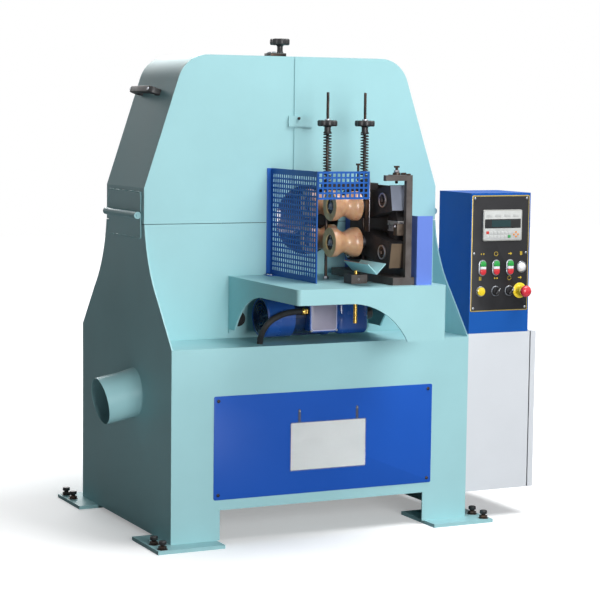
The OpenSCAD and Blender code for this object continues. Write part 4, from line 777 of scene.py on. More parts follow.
class SANDER_OT_hood(bpy.types.Operator):
    """Paints the two halves of the hood, and adds the handles and the clamp's knob"""
    bl_idname = "sander.hood"
    bl_label = "Hood"

    def execute(self, context):
        paint = body_paint()
        dress("hood_left", paint, 1.2)
        dress("hood_right", paint, 1.2)
        plastic = black_nylon()
        for side, name in ((-1, "left"), (1, "right")):
            handle = Build(plastic, zinc_plate())
            x = HALF_W - (HANDLE_Z - SLOPE_FOOT) * math.tan(SLOPE)
            place = (Matrix.Translation((x, HANDLE_Y, HANDLE_Z))
                     @ Matrix.Rotation(math.pi / 2 - SLOPE, 4, "Y"))
            if side < 0:
                place = Matrix.Diagonal((-1, 1, 1, 1)) @ place
            outline = ([(-95, 0), (-95, 6)] + arc(-76, 24, 20, 180, 90, 6) + arc(76, 24, 20, 90, 0, 6)
                       + [(95, 6), (95, 0), (62, 0)] + arc(56, 12, 10, 0, 90, 5)
                       + arc(-56, 12, 10, 90, 180, 5) + [(-62, 0)])
            handle.add(slab(outline, -11, 11, "X", 3.0, 3), 0, place)
            for y in (-80, 80):
                handle.add(turned([(0, 44.6), (5, 44.6), (6, 43.8), (6, 42), (0, 42)],
                                  (0, y, 0), Z, 24), 1, place)
            handle.done(name + "_hood_handle", name + "_hood", "dark_plastic", name + "_handle")
        steel = blued_steel()
        plate = Build(steel, zinc_plate())
        plate.add(block((-61.4, 325.6, 1600.2), (-1.8, 378.4, 1613.3), 1.5))
        for y in (333, 371):
            plate.add(hexagon((-46, y, 1613.2), Z, 7, 5), 1)
        plate.done("clamp_plate", "left_hood", "aqua_paint")
        knob = Build(plastic, turned_steel())
        knob.add(turned([(0, 1601), (7.9, 1601), (7.9, 1613.3), (12, 1613.4), (12, 1616), (10, 1620),
                         (10, 1636), (14, 1641), (0, 1641)], (*CLAMP, 0), Z, 32))
        knob.add(lobed((*CLAMP, 1641), 35, 22, 7, 0.11, 5))
        knob.add(turned([(0, 1664), (8, 1663.8), (9, 1662.5), (0, 1662.5)], (*CLAMP, 0), Z, 24), 1)
        knob.done("hood_clamp_knob", "hood_clamp", "dark_plastic", "clamp_knob")
        screw = Build(steel)
        screw.add(turned([(0, 4), (3, 4), (5, 2.5), (5.4, 0), (0, 0)], (6, 236.7, 1391), -Y, 20))
        screw.done("latch_screw", "right_hood", "aqua_paint")
        return {"FINISHED"}


# GUARDS
GUARD_TOP = 1222


def perforated(corner, along, up, width, height, thickness, border):
    """A sheet with square holes inside a plain border, from a corner, in two directions."""
    pitch, hole = sizes().guard_pitch / MM, sizes().guard_hole / MM
    across, tall = int((width - 2 * border) / pitch), int((height - 2 * border) / pitch)
    side, rise = (width - across * pitch) / 2, (height - tall * pitch) / 2
    part = bmesh.new()
    steps_u = [0] + [side + i * pitch for i in range(across + 1)] + [width]
    steps_v = [0] + [rise + i * pitch for i in range(tall + 1)] + [height]
    grid = [[part.verts.new((u, v, 0)) for u in steps_u] for v in steps_v]
    cells = []
    for j in range(tall + 2):
        for i in range(across + 2):
            face = part.faces.new((grid[j][i], grid[j][i + 1], grid[j + 1][i + 1], grid[j + 1][i]))
            if 0 < i <= across and 0 < j <= tall:
                cells.append(face)
    part.normal_update()
    bmesh.ops.inset_individual(part, faces=cells, thickness=(pitch - hole) / 2, use_even_offset=True)
    bmesh.ops.delete(part, geom=cells, context="FACES")
    bmesh.ops.solidify(part, geom=part.faces[:], thickness=thickness)
    bmesh.ops.recalc_face_normals(part, faces=part.faces)
    along, up = Vector(along), Vector(up)
    low = min(v.co.z for v in part.verts)
    bmesh.ops.translate(part, vec=(0, 0, -low), verts=part.verts)
    turn = Matrix((along, up, along.cross(up))).transposed().to_4x4()
    bmesh.ops.transform(part, matrix=Matrix.Translation(corner) @ turn, verts=part.verts)
    return part


class SANDER_OT_guards(bpy.types.Operator):
    """Makes the perforated guard over the feed rollers and paints the other guard"""
    bl_idname = "sander.guards"
    bl_label = "Guards"

    def execute(self, context):
        guard = Build(powder_coat("blue_guard_powder_coat", colours().guard, 0.35), zinc_plate())
        guard.add(perforated((-91, -105, DECK_Z), Y, Z, 351.7, GUARD_TOP - DECK_Z, 2, 9))
        guard.add(perforated((-93, -103, 1131), X, Z, 193, 91, 2, 3.5))
        guard.add(rod((-92, -104, DECK_Z), (-92, -104, GUARD_TOP), 1.4, sides=12))
        guard.add(block((-108, 244.7, DECK_Z), (-91.5, 246.7, GUARD_TOP), 0.6))
        guard.add(slab(washer(-120, -91.5, 195, 241), 858.1, 860.2, "Z", 0.5))
        for y in (207, 229):
            guard.add(turned([(0, 4), (3.5, 3.6), (6, 1.6), (6.4, 0), (0, 0)], (-108, y, 860.2), Z, 20), 1)
        guard.done("left_guard_sheet", "machine", "guard_blue", "left_guard")
        # The other guard has the same paint, drawn paler and more violet here as painted light and sheen on
        # its brightly lit front
        dress("right_guard", powder_coat("guard_powder_coat_painted_sheen", "#6A86D8"), 0.8)
        screws = Build(zinc_plate())
        for y in (212, 234):
            screws.add(hexagon((210, y, 860.0), Z, 6, 4.5))
            screws.add(turned(washer(0, 8.5, 0, 1.2), (210, y, 859.9), Z, 24))
        screws.done("right_guard_screws", "machine", "black_steel")
        return {"FINISHED"}


# FEED STAND
class SANDER_OT_stand(bpy.types.Operator):
    """Finishes the feed stand, and adds its caps, bush and screws"""
    bl_idname = "sander.stand"
    bl_label = "Feed stand"

    def execute(self, context):
        dress("feed_stand", browned_steel(), 1.2)
        caps = Build(blued_steel(), ground_steel(), zinc_plate())
        for (y, drop), radius in ((FRONT_PIVOT, 24), (REAR_PIVOT, 16)):
            for z in (BAR_Z + drop, BAR_Z - drop):
                x = ARM_X0 - 4.1
                caps.add(turned(washer(0, radius - 5, 0, 0.9), (x, y, z), -X))
                caps.add(turned([(radius - 5, 0), (radius, 0), (radius, 0.7), (radius - 1, 1.5),
                                 (radius - 4, 1.5), (radius - 5, 0.7), (radius - 5, 0)], (x, y, z), -X), 1)
                caps.add(hexagon((x - 0.9, y, z), -X, radius * 0.4, 6))
                # The larger caps have three screws of their own
                if radius > 20:
                    for dy, dz in spread(3, 30, 15):
                        caps.add(turned([(0, 2.2), (2, 2.2), (2.5, 1.5), (2.5, 0), (0, 0)],
                                        (x - 0.9, y + dy, z + dz), -X, 20))
        # A bush under the closing stop, and the bracket's second bolt
        caps.add(turned([(6, 0), (13, 0), (13, 5), (11, 7), (6, 7)], (STOP_X, STOP_Y, 1213.9), Z, 40))
        caps.add(hexagon((172, -203, 1213.9), Z, 9, 7))
        caps.add(hexagon((172, -236, 1213.9), Z, 7, 5))
        for y in (-215, -20, 140):
            caps.add(turned([(3.2, 0), (7, 0), (7, 6), (6, 7), (3.2, 7), (3.2, 3), (0, 3)],
                            (189.5 if y == -20 else 186, y, 883), Z, 24))
        # A thin flat stay between the rollers and the arms; its front edge, drawn in bright ground steel,
        # is a painted highlight
        caps.add(block((100.4, -104, 1024), (102.6, -74, 1196), 0.5))
        caps.add(block((100.2, -104.4, 1024), (102.8, -103.6, 1196), 0.2), 1)
        caps.done("feed_stand_caps", "machine", "brown_steel")
        return {"FINISHED"}


# ARMS
def front_line(side, along, across):
    """A point of a front arm, along it from its pivot and across it, as Y and Z."""
    y0, z0 = FRONT_PIVOT
    y1, z1 = ROLLERS["upper_front"]
    slope = math.atan2(z1 - z0, y1 - y0)
    y = y0 + along * math.cos(slope) - across * math.sin(slope)
    z = z0 + along * math.sin(slope) + across * math.cos(slope)
    return y, BAR_Z + side * z


class SANDER_OT_arms(bpy.types.Operator):
    """Finishes the four arms, with their machined ends, toothed sectors and bearing caps"""
    bl_idname = "sander.arms"
    bl_label = "Arms"

    def execute(self, context):
        steel = finish("blackened_steel_and_teeth", "#1C1B1D", 0.2, 0.6, grain_mm=1.5, relief_mm=0.03,
                       tint="#2B2524", tint_mm=38.0, tint_share=0.3, band=(BAR_Z, 17.0, "#B9B5B4"))
        for node in ("front_upper_arm", "front_lower_arm", "rear_upper_arm", "rear_lower_arm"):
            dress(node, steel, 1.0)
        # The milled faces are one steel, drawn grey-violet on the upper arm and brown on the lower as
        # painted reflection
        for side, body, reflected_colour in ((1, "upper_front_arm", "#7B8292"), (-1, "lower_front_arm", "#72604C")):
            face = finish(body + "_milled_face", reflected_colour, 0.3, 0.6, grain_mm=1.2, relief_mm=0.03,
                          tint_mm=30.0, stretch=(0.15, 1, 1))
            ends = Build(face, ground_steel(), blued_steel())
            corners = [front_line(side, -52.35, v) for v in (-40.5, 40.5)]
            inner = [front_line(side, -51.9, v) for v in (40.5, -40.5)]
            ends.add(slab(corners + inner, ARM_X0 + 1.2, ARM_X1 - 1.2, "X"))
            # The roller's shaft comes out beyond the arm, with its nut and washer
            y, z = ROLLERS["upper_front"]
            z = BAR_Z + side * z
            ends.add(turned(washer(13, 21, 0, 2.5), (ARM_X0 - 0.1, y, z), -X, 40), 1)
            ends.add(hexagon((ARM_X1, y, z), X, 17, 4.5), 2)
            ends.done(body + "_milled_end", body, "bright_steel")
        seats = Build(ground_steel())
        for x in ROD_X:
            # Open to the rear, where the rod comes closer when the arm swings up
            seats.add(slab(arc(x, SPRING_Y, 15.6, 142, 398, 24) + arc(x, SPRING_Y, 7.5, 398, 142, 20),
                           SPRING_LOW - 2, SPRING_LOW - 0.1, "Z", 0.4))
        seats.done("spring_seats", "upper_front_arm", "black_steel")
        screw = Build(blued_steel(), zinc_plate())
        screw.add(turned(washer(0, 4, SPRING_LOW - 3, 1238), (130, 34, 0), Z, 24))
        screw.add(hexagon((130, 34, SPRING_LOW - 2.2), Z, 8, 6, 0.6), 1)
        screw.add(hexagon((130, 34, 1237), Z, 8, 7, 0.6))
        screw.done("beam_set_screw", "upper_front_arm", "black_steel")
        self.bearing_block()
        return {"FINISHED"}

    def bearing_block(self):
        """The small bronze block between the arms' tails, bolted to the stand's post."""
        piece = Build(finish("cast_bronze", "#574A3F", 0.5, 0.5, grain_mm=1.5, relief_mm=0.05,
                             tint="#40362D", tint_mm=14.0), ground_steel())
        piece.add(block((136, -230.1, 1018), (162, -205, 1056), 1.2))
        piece.add(hexagon((136.1, -218, 1048), -X, 6, 4.5, 0.6), 1)
        piece.done("bar_stop_pad", "machine", "bright_steel")


# ROLLERS
class SANDER_OT_rollers(bpy.types.Operator):
    """Makes the four waisted feed rollers with their hubs and shafts"""
    bl_idname = "sander.rollers"
    bl_label = "Feed rollers"

    def execute(self, context):
        amber = polyurethane()
        pale = finish("cut_polyurethane", "#DCC793", 0.0, 0.5, grain_mm=1.0, relief_mm=0.05,
                      tint="#CFA768", tint_mm=20.0, ior=1.5)
        for name, (y, z) in ROLLERS.items():
            roller = Build(amber, pale, blued_steel(), ground_steel())
            # 35 mm in the middle of the waist, 49 mm at its shoulders
            waist = [(42 - 7 * math.cos(math.pi * s / 36.7), 48 + s)
                     for s in [-36.7 + i * 73.4 / 28 for i in range(29)]]
            tread = ([(48, -3), (49, -2), (49, 3), (49, 11)] + waist[1:-1]
                     + [(49, 85), (49, 93), (49, 98), (48, 99)])
            centre = (0, y, BAR_Z + z)
            roller.add(turned(tread, centre, X, 96))
            roller.add(turned([(48, 99), (13, 99), (13, 60), (26, 60), (26, 3)], centre, X, 64), 2)
            roller.add(turned([(26, 3), (26, -2.4), (26.6, -3), (48, -3)], centre, X, 64), 1)
            roller.add(turned(washer(0, 26, 2, 4), centre, X, 64), 2)
            roller.add(turned([(0, -4), (5.5, -4), (7, -2.5), (7, 2), (0, 2)], centre, X, 32), 3)
            roller.add(turned(washer(7, 12, 2, 0.8), centre, X, 40), 3)
            roller.add(turned([(0, 60), (12, 60), (12, 176.2), (11, 177), (0, 177)], centre, X, 40), 3)
            for dy, dz in spread(3, 90, 18):
                roller.add(turned([(0, 1.5), (2.4, 1.5), (3, 0.8), (3, 0), (0, 0)],
                                  (2, y + dy, BAR_Z + z + dz), -X, 16), 3)
            row, place = name.split("_")
            roller.done(name + "_roller_tread", name + "_roller", "amber_roller",
                        place + "_" + row + "_roller")
        return {"FINISHED"}


# SPRINGS
COIL_R = 12.5


class SANDER_OT_springs(bpy.types.Operator):
    """Makes the two pressure springs, their rods and their hand knobs"""
    bl_idname = "sander.springs"
    bl_label = "Pressure springs"

    def execute(self, context):
        wire = sizes().wire / MM
        springs = Build(finish("spring_steel", "#2A2B2D", 0.5, 0.45, grain_mm=1.0, relief_mm=0.01,
                               tint="#3C3A38", tint_mm=10.0))
        steps, turns = 22, sizes().coils - 1
        rise = (SPRING_TOP - SPRING_LOW - 2 * wire) / (turns * steps)
        for x in ROD_X:
            springs.add(coil(COIL_R, wire, 10, steps, turns, rise), 0,
                        Matrix.Translation((x, SPRING_Y, SPRING_LOW + wire)))
            # The closed end turns
            for z in (SPRING_LOW + wire, SPRING_TOP - wire):
                springs.add(coil(COIL_R, wire, 10, 40), 0, Matrix.Translation((x, SPRING_Y, z)))
        coils = springs.done("pressure_spring_coils", "machine", "black_steel", "pressure_springs", 60)
        # The tilted seat meets the coils' rear edge first; the coils are not bent to it, and only get a
        # mesh of their own
        rise = SPRING_LOW - BAR_Z - FRONT_PIVOT[1]
        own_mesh(coils)
        rods = Build(blued_steel(), zinc_plate())
        for x, foot in ((ROD_X[0], DECK_Z), (ROD_X[1], DECK_Z + 25)):
            rods.add(turned([(0, 852), (4.4, 852), (4.9, 852.5), (4.9, 1250), (4.9, 1320)]
                            + [(4.5 + 0.45 * (i % 2), 1320 + i * 0.9) for i in range(175)]
                            + [(4.2, 1479), (0, 1480)], (x, SPRING_Y, 0), Z, 20))
            rods.add(hexagon((x, SPRING_Y, foot + 0.2), Z, 10, 9.6), 1)
        rods.done("spring_guide_rods", "machine", "black_steel", "spring_rods")
        for x, name in zip(ROD_X, ("left", "right")):
            knob = Build(black_nylon(), zinc_plate())
            z = SPRING_TOP
            knob.add(turned([(5.15, z), (13, z), (13, z + 2), (11, z + 2.5), (11, z + 17), (16, z + 20.5),
                             (5.15, z + 20.5)], (x, SPRING_Y, 0), Z, 40))
            knob.add(hand_wheel(x, z + 20))
            knob.add(turned([(5.15, 0), (10, 0), (10, 3), (9, 4), (5.15, 4)],
                            (x, SPRING_Y, z + 40), Z, 32), 1)
            knob.done(name + "_spring_hand_knob", name + "_spring_knob",
                      "dark_plastic", "spring_knob_" + name)
        return {"FINISHED"}


def hand_wheel(x, z):
    """A lobed knob with a bore for its rod."""
    part = lobed((0, 0, 0), 34, 20, 7, 0.12, 4.5)
    many = 20
    for face in [f for f in part.faces if len(f.verts) > many]:
        bmesh.ops.inset_region(part, faces=[face], thickness=12)
    bmesh.ops.delete(part, geom=[f for f in part.faces if len(f.verts) > many], context="FACES")
    bmesh.ops.bridge_loops(part, edges=[e for e in part.edges if e.is_boundary])
    bmesh.ops.translate(part, vec=(x, SPRING_Y, z), verts=part.verts)
    return part


# BAR SUPPORT
class SANDER_OT_support(bpy.types.Operator):
    """Finishes the V support, its clamping block and the closing stop"""
    bl_idname = "sander.support"
    bl_label = "Bar support and stop"

    def execute(self, context):
        dress("v_block", browned_steel(), 1.0)
        # A bent sheet on a brass stem, with bright strips along its top edges as painted highlights
        vee = Build(body_paint(), ground_steel(), brass())
        outline = [(48, 896.1), (81.8, 929.9), (79, 931.3), (48, 900.3), (17, 931.3), (14.2, 929.9)]
        vee.add(slab(outline, -259.9, -92.1, "Y", 0.3))
        # Thin ground steel strips on the sheet's two top edges: painted highlights
        for side in (-1, 1):
            outline = [(48 + side * 31.2, 931.3), (48 + side * 33.7, 930.1), (48 + side * 33.7, 930.4),
                       (48 + side * 31.2, 931.7)]
            vee.add(slab(outline, -259.4, -92.6, "Y"), 1)
        vee.add(turned([(0, 724.1), (6, 724.1), (6.9, 725), (6.9, 898),
                        (0, 898)], (48, -116, 0), Z, 40), 2)
        vee.done("bar_support_vee", "bar_support", "aqua_paint", "v_support")
        screw = Build(blued_steel(), ground_steel())
        screw.add(turned(washer(0, 3.9, 6, 0), (41, -150, 872.5), Y, 24))
        screw.add(turned(washer(2, 3.9, 0.6, 0), (41, -149.9, 872.5), -Y, 6), 1)
        screw.done("v_block_set_screw", "machine", "black_steel")
        stop = Build(blued_steel(), ground_steel())
        stop.add(turned([(0, 1185.2)] + [(4.9 - 0.45 * (i % 2), 1185.4 + 0.9 * i) for i in range(56)]
                        + [(4.9, 1238), (0, 1238)], (STOP_X, STOP_Y, 0), Z, 24))
        stop.add(hexagon((STOP_X, STOP_Y, 1221.2), Z, 9, 8), 1)
        stop.add(hexagon((STOP_X, STOP_Y, 1236.8), Z, 9.3, 6.2))
        stop.done("closing_stop_screw", "closing_stop", "black_steel", "stop_screw")
        return {"FINISHED"}


# GEAR MOTOR
GEAR_MOTOR = (0.0, 110.0, 729.0)


class SANDER_OT_gearmotor(bpy.types.Operator):
    """Makes the feed gear motor with its cowl, fins, terminal box and gearbox"""
    bl_idname = "sander.gearmotor"
    bl_label = "Feed gear motor"

    def execute(self, context):
        blue = enamel("blue_motor_enamel", "#1E4E9A")
        # The motor's blue enamel, drawn dark on the grille, the stator and the fins as painted shade
        dark = enamel("motor_enamel_painted_shade", "#142A4C")
        lid = finish("cast_lid_enamel", "#908C9E", 0.0, 0.4, grain_mm=3.0, relief_mm=0.06,
                     tint_mm=50.0, ior=1.5)
        # The thin pale lilac ring round the lid is a painted highlight on its edge
        lid_edge_highlight = finish("lid_edge_painted_highlight", "#B4B8D6", 0.0, 0.4, grain_mm=3.0, tint_mm=50.0, ior=1.5)
        motor = Build(blue, dark, lid, brass(), zinc_plate(), black_nylon(), browned_steel(), lid_edge_highlight)
        centre = GEAR_MOTOR
        # Fan cowl, open at its back through the grille
        motor.add(turned([(58, -189), (64, -191.5), (68, -187), (68, -92), (65.5, -92), (65.5, -186),
                          (58, -187)], centre, X, 72))
        for radius in (14, 25, 36, 47, 58):
            motor.add(turned(washer(radius - 1.6, radius + 1.6, -190, -187, True), centre, X, 56), 1)
        motor.add(turned([(0, -190.5), (9, -190), (11, -187), (0, -187)], centre, X, 32), 1)
        for i in range(6):
            motor.add(block((-190, -1.8, 8), (-187.2, 1.8, 60)), 1, about(centre, 15 + 60 * i, "X"))
        motor.add(turned(washer(0, 40, -150, -140), centre, X, 32), 5)
        # Finned stator between the end shields
        motor.add(turned(washer(0, 59, -96, 37), centre, X, 64), 1)
        for degrees in range(6, 366, 12):
            # No fins behind the terminal box
            if not 10 < (degrees + 270) % 360 < 95:
                motor.add(block((-91, -1.1, 56), (35, 1.1, 66.5), 0.5, 1), 1, about(centre, degrees, "X"))
        motor.add(turned([(0, 30), (60, 30), (66, 33), (68, 36.2), (68, 47.8), (66, 48), (0, 48)],
                         centre, X, 72))
        motor.add(turned([(0, 48), (58, 48), (60, 49), (62, 56), (62, 122), (60, 128), (0, 128)],
                         centre, X, 72))
        for i in range(8):
            turn = Matrix.Rotation(math.radians(22.5 + 45 * i), 3, "X")
            motor.add(hexagon(Vector(centre) + turn @ Vector((48, 0, 55)), X, 5.5, 4, 0.5), 4)
        # Gearbox, with its foot bolted under the platform
        motor.add(block((66, 48, 667), (190, 172, 791), 22, 5))
        motor.add(block((67, 49, 780), (189, 171, 852), 3, 2))
        motor.add(block((60, 44, 838), (196, 176, 851.9), 2, 2))
        for x in (72, 184):
            for y in (52, 168):
                motor.add(hexagon((x, y, 838), -Z, 8, 6, 0.6), 4)
        # The output shaft's cap on the gearbox's right side
        motor.add(turned([(0, 189), (30, 189), (30, 196), (20, 198), (20, 222), (18, 226), (0, 226)],
                         centre, X), 6)
        # Terminal box: neck, rim, seal and lid
        motor.add(block((-44, 50, 694), (42, 96, 770), 3))
        motor.add(block((-52, 20, 684), (50, 62, 780), 5, 3))
        motor.add(block((-53, 18.6, 683), (51, 21.6, 781), 1.2), 5)
        motor.add(slab(rounded(-53.8, 682.2, 51.8, 781.8, 12), 13, 18.8, "Y", 2.0, 3))
        motor.add(slab(rounded(-49, 687, 47, 777, 10), 12.6, 13.2, "Y"), 7)
        motor.add(slab(rounded(-46, 690, 44, 774, 9), 11.6, 13.4, "Y", 0.9, 2), 2)
        for x in (-47.5, 45.5):
            for z in (688.5, 775.5):
                motor.add(turned([(0, 3), (3.2, 3), (4.4, 1.6), (4.4, 0), (0, 0)], (x, 13.2, z), -Y, 20), 4)
        motor.add(hexagon((-52, 35, 752), -X, 13, 8), 3)
        motor.add(hexagon((-61, 35, 752), -X, 12.6, 8), 3)
        motor.add(turned([(10.1, 69), (12, 69), (11, 74.5), (10.1, 75)], (0, 35, 752), -X, 32), 3)
        motor.done("feed_gear_motor", "machine", "motor_blue", "gearmotor")
        return {"FINISHED"}


# CONSOLE
# Left, bottom, right and top of the control panel
PANEL = (558.0, 731.0, 791.0, 1134.0)
BUTTON_X, LAMP_X, BUTTON_ROW = (603.0, 658.0, 715.0), 763.0, 883.0
RESET_X, SWITCH_X, ESTOP_X, SWITCH_ROW = 598.0, (659.0, 714.0), 757.0, 801.0


class SANDER_OT_console(bpy.types.Operator):
    """Finishes the console, its panel, its display and its bare signs"""
    bl_idname = "sander.console"
    bl_label = "Console"

    def execute(self, context):
        dress("console_box", textured_paint("blue_textured_paint", colours().console), 2.0)
        black = finish("black_laminate", "#121216", 0.0, 0.42, grain_mm=1.2, relief_mm=0.03, tint_mm=80.0,
                       spread=0.2, ior=1.5)
        x0, z0, x1, z1 = PANEL
        gold = finish("gold_anodised_edge", "#C4AE62", 0.6, 0.4, tint_mm=40.0)
        panel = Build(gold, black, zinc_plate(), finish("yellow_ink", "#D8B93A", 0.0, 0.5, tint_mm=30.0))
        panel.add(slab(rounded(x0, z0, x1, z1, 5), -0.2, 3.9, "Y", 0.6))
        panel.add(slab(rounded(x0 + 3.5, z0 + 3.5, x1 - 3.5, z1 - 3.5, 3), -0.6, 0.2, "Y", 0.15), 1)
        for x in (x0 + 11, x1 - 11):
            for z in (z0 + 11, (z0 + z1) / 2, z1 - 11):
                panel.add(turned([(0, 1.6), (2.6, 1.6), (4.4, 0.2), (4.4, 0), (0, 0)],
                                 (x, -0.6, z), -Y, 20), 2)
        for x in BUTTON_X:
            panel.add(self.oval_ring(x, BUTTON_ROW), 2)
        for x in (RESET_X, *SWITCH_X):
            panel.add(self.ring(x, SWITCH_ROW, 15.3, 18), 2)
        panel.add(self.ring(LAMP_X, BUTTON_ROW, 17.2, 20), 2)
        for z, xs in ((931, (*BUTTON_X, LAMP_X)), (846, (RESET_X, *SWITCH_X, ESTOP_X))):
            for i, x in enumerate(xs):
                for mark in self.icon(x, z, (i + z) % 4):
                    panel.add(mark, 3)
        panel.done("control_panel_sheet", "machine", "control_black", "control_panel")
        self.display()
        return {"FINISHED"}

    def ring(self, x, z, inner, outer):
        return turned([(inner, 0), (outer, 0), (outer, 1.6), (outer - 0.8, 2.6), (inner, 2.6), (inner, 0)],
                      (x, -0.5, z), -Y)

    def oval_ring(self, x, z):
        """The bezel round a double push button."""
        return slab(arc(x, z + 13, 15, 0, 180, 20) + arc(x, z - 13, 15, 180, 360, 20),
                    -3.2, -0.4, "Y", 0.8)

    def icon(self, x, z, kind):
        """A small plain mark such as a ring, an arrow, a bar or a pair of dots."""
        if kind == 0:
            return [turned(washer(6.3, 7.6, 0.1, 0.3, True), (x, -0.6, z), -Y, 24)]
        if kind == 1:
            return [slab([(x - 7, z - 1.4), (x + 1.5, z - 1.4), (x + 1.5, z - 5.5), (x + 8, z),
                          (x + 1.5, z + 5.5), (x + 1.5, z + 1.4), (x - 7, z + 1.4)], -0.85, -0.65, "Y")]
        if kind == 2:
            return [block((x - 1.5, -0.85, z - 6.5), (x + 1.5, -0.65, z + 6.5)),
                    block((x - 7, -0.85, z - 6.5), (x - 4, -0.65, z + 6.5))]
        return [turned(washer(0, 2.7, 0.1, 0.3), (x + side, -0.6, z), -Y, 16)
                for side in (-5, 5)]

    def display(self):
        """The display unit with its screen, coloured keys and arrow keys."""
        grey = finish("display_housing", "#A9AAA6", 0.0, 0.45, grain_mm=1.0, relief_mm=0.03,
                      tint_mm=60.0, ior=1.53)
        foil = finish("key_foil", "#C6C8C6", 0.0, 0.4, grain_mm=3.0, relief_mm=0.02, tint_mm=40.0, ior=1.5)
        glass = glow("liquid_crystal", "#1F3B3E", 0.08)
        keys = [finish(name + "_key", code, 0.0, 0.4, tint_mm=20.0, ior=1.5) for name, code in
                (("red", "#C33B34"), ("green", "#3C9A55"), ("orange", "#E08A2C"))]
        dark = finish("display_mask", "#26282A", 0.0, 0.3, tint_mm=60.0, ior=1.5)
        unit = Build(grey, foil, glass, *keys, dark)
        unit.add(slab(rounded(600, 976, 758, 1084, 6), -6.8, 0.2, "Y", 1.6, 3))
        unit.add(slab(rounded(604, 980, 754, 1080, 4), -7.1, -6.7, "Y", 0.2), 1)
        unit.add(slab(rounded(606, 1020, 752, 1052, 2), -7.25, -7.0, "Y"), 6)
        unit.add(slab(rounded(634, 1025, 711, 1048, 1), -7.35, -7.2, "Y"), 2)
        for row in range(2):
            for i in range(7):
                x, z = 612 + i * 14.6, 1000 - row * 14
                paint = 3 if (row, i) == (0, 0) else 4 if (row, i) == (1, 6) else 1
                unit.add(slab(rounded(x, z, x + 11.5, z + 10, 1.6, 3), -7.9, -7.0, "Y", 0.3), paint)
        for dx, dz in ((0, 7.5), (0, -7.5), (-8.5, 0), (8.5, 0)):
            x, z = 733 + dx, 998 + dz
            unit.add(slab([(x - 4.5, z), (x, z - 4.5), (x + 4.5, z), (x, z + 4.5)],
                          -7.9, -7.0, "Y", 0.3), 5)
        for i in range(4):
            unit.add(slab(rounded(612 + i * 36, 1060, 636 + i * 36, 1070, 2, 3), -7.6, -7.0, "Y", 0.2), 1)
        unit.done("display_and_keys", "machine", "display_grey", "display_unit")


class SANDER_OT_buttons(bpy.types.Operator):
    """Makes the push buttons, the lamps, the selectors and the emergency stop"""
    bl_idname = "sander.buttons"
    bl_label = "Buttons"

    def execute(self, context):
        green, red = gloss_plastic("green_button", "#2FA34A"), gloss_plastic("red_button", "#D2343C")
        white, yellow = gloss_plastic("white_lens", "#EDEFF2"), gloss_plastic("yellow_cap", "#F0D22A")
        black = black_nylon()
        for i, x in enumerate(BUTTON_X):
            for side, colour, name in ((1, green, "start"), (-1, red, "stop")):
                cap = Build(colour)
                outline = ([(x - 11.5, 5.1), (x + 11.5, 5.1)]
                           + [(x + 11.5, 13)] + arc(x, 13, 11.5, 0, 180, 18)[1:-1] + [(x - 11.5, 13)])
                outline = [(u, BUTTON_ROW + side * v) for u, v in outline]
                cap.add(slab(outline, -9, -3.4, "Y", 1.2, 3))
                cap.add(rod((x, -3.6, BUTTON_ROW + side * 14), (x, 6, BUTTON_ROW + side * 14), 4, sides=20))
                cap.done(f"{name}_cap_{i + 1}", f"{name}_{i + 1}",
                         "button_green" if side > 0 else "button_red", f"{name}_button_{i + 1}")
        lamps = Build(white, zinc_plate())
        for x in BUTTON_X:
            lamps.add(block((x - 11.3, -8.4, BUTTON_ROW - 4.5), (x + 11.3, -3.1, BUTTON_ROW + 4.5), 1.2, 3))
        lamps.add(turned([(0, 11), (8, 10), (14, 6.5), (16.6, 1), (16.6, -2), (0, -2)],
                         (LAMP_X, 0, BUTTON_ROW), -Y))
        lamps.done("indicator_lenses", "machine", "lamp_white", "indicator_lamps")
        reset = Build(yellow)
        reset.add(turned([(0, 8.2), (12, 8.8), (14.6, 7.6), (14.9, 5), (14.9, 3.4), (4, 3.4), (4, -6),
                          (0, -6)], (RESET_X, 0, SWITCH_ROW), -Y))
        reset.done("reset_cap", "reset", "button_yellow", "reset_button")
        for i, x in enumerate(SWITCH_X):
            knob = Build(black, white)
            place = about((x, 0, SWITCH_ROW), 35, "Y")
            knob.add(turned([(0, 9), (14, 9), (15, 7.5), (15, 0.5), (0, 0.5)], (x, 0, SWITCH_ROW), -Y))
            knob.add(rod((x, -0.6, SWITCH_ROW), (x, 6, SWITCH_ROW), 4, sides=20))
            knob.add(block((-4, -20, -14), (4, -8.8, 14), 2.2, 3), 0, place)
            knob.add(block((-0.9, -20.3, 2), (0.9, -19.8, 12.5), 0.1, 1), 1, place)
            knob.done(f"selector_knob_{i + 1}", f"switch_{i + 1}", "dark_plastic", f"selector_{i + 1}")
        stop = Build(gloss_plastic("signal_red", "#D8303F"), black)
        # The mushroom's back stands clear of its collar
        back = -33.3
        stop.add(turned([(0, 22), (9, 21.6), (15, 19.5), (19, 15), (20, 10), (20, 6), (18, 2.5),
                         (13, 0), (0, 0)], (ESTOP_X, back, SWITCH_ROW), -Y, 56))
        stop.add(rod((ESTOP_X, back + 0.5, SWITCH_ROW), (ESTOP_X, 6, SWITCH_ROW), 4, sides=20), 1)
        stop.done("emergency_mushroom", "emergency_stop", "button_red", "estop_button")
        collar = Build(yellow)
        collar.add(turned([(5, 0.4), (27, 0.4), (27, 2), (25.5, 3), (18.6, 3.4), (18, 5), (18, 29),
                           (16.5, 30), (5, 30)], (ESTOP_X, 0, SWITCH_ROW), -Y, 56))
        collar.done("emergency_collar", "machine", "button_yellow")
        return {"FINISHED"}


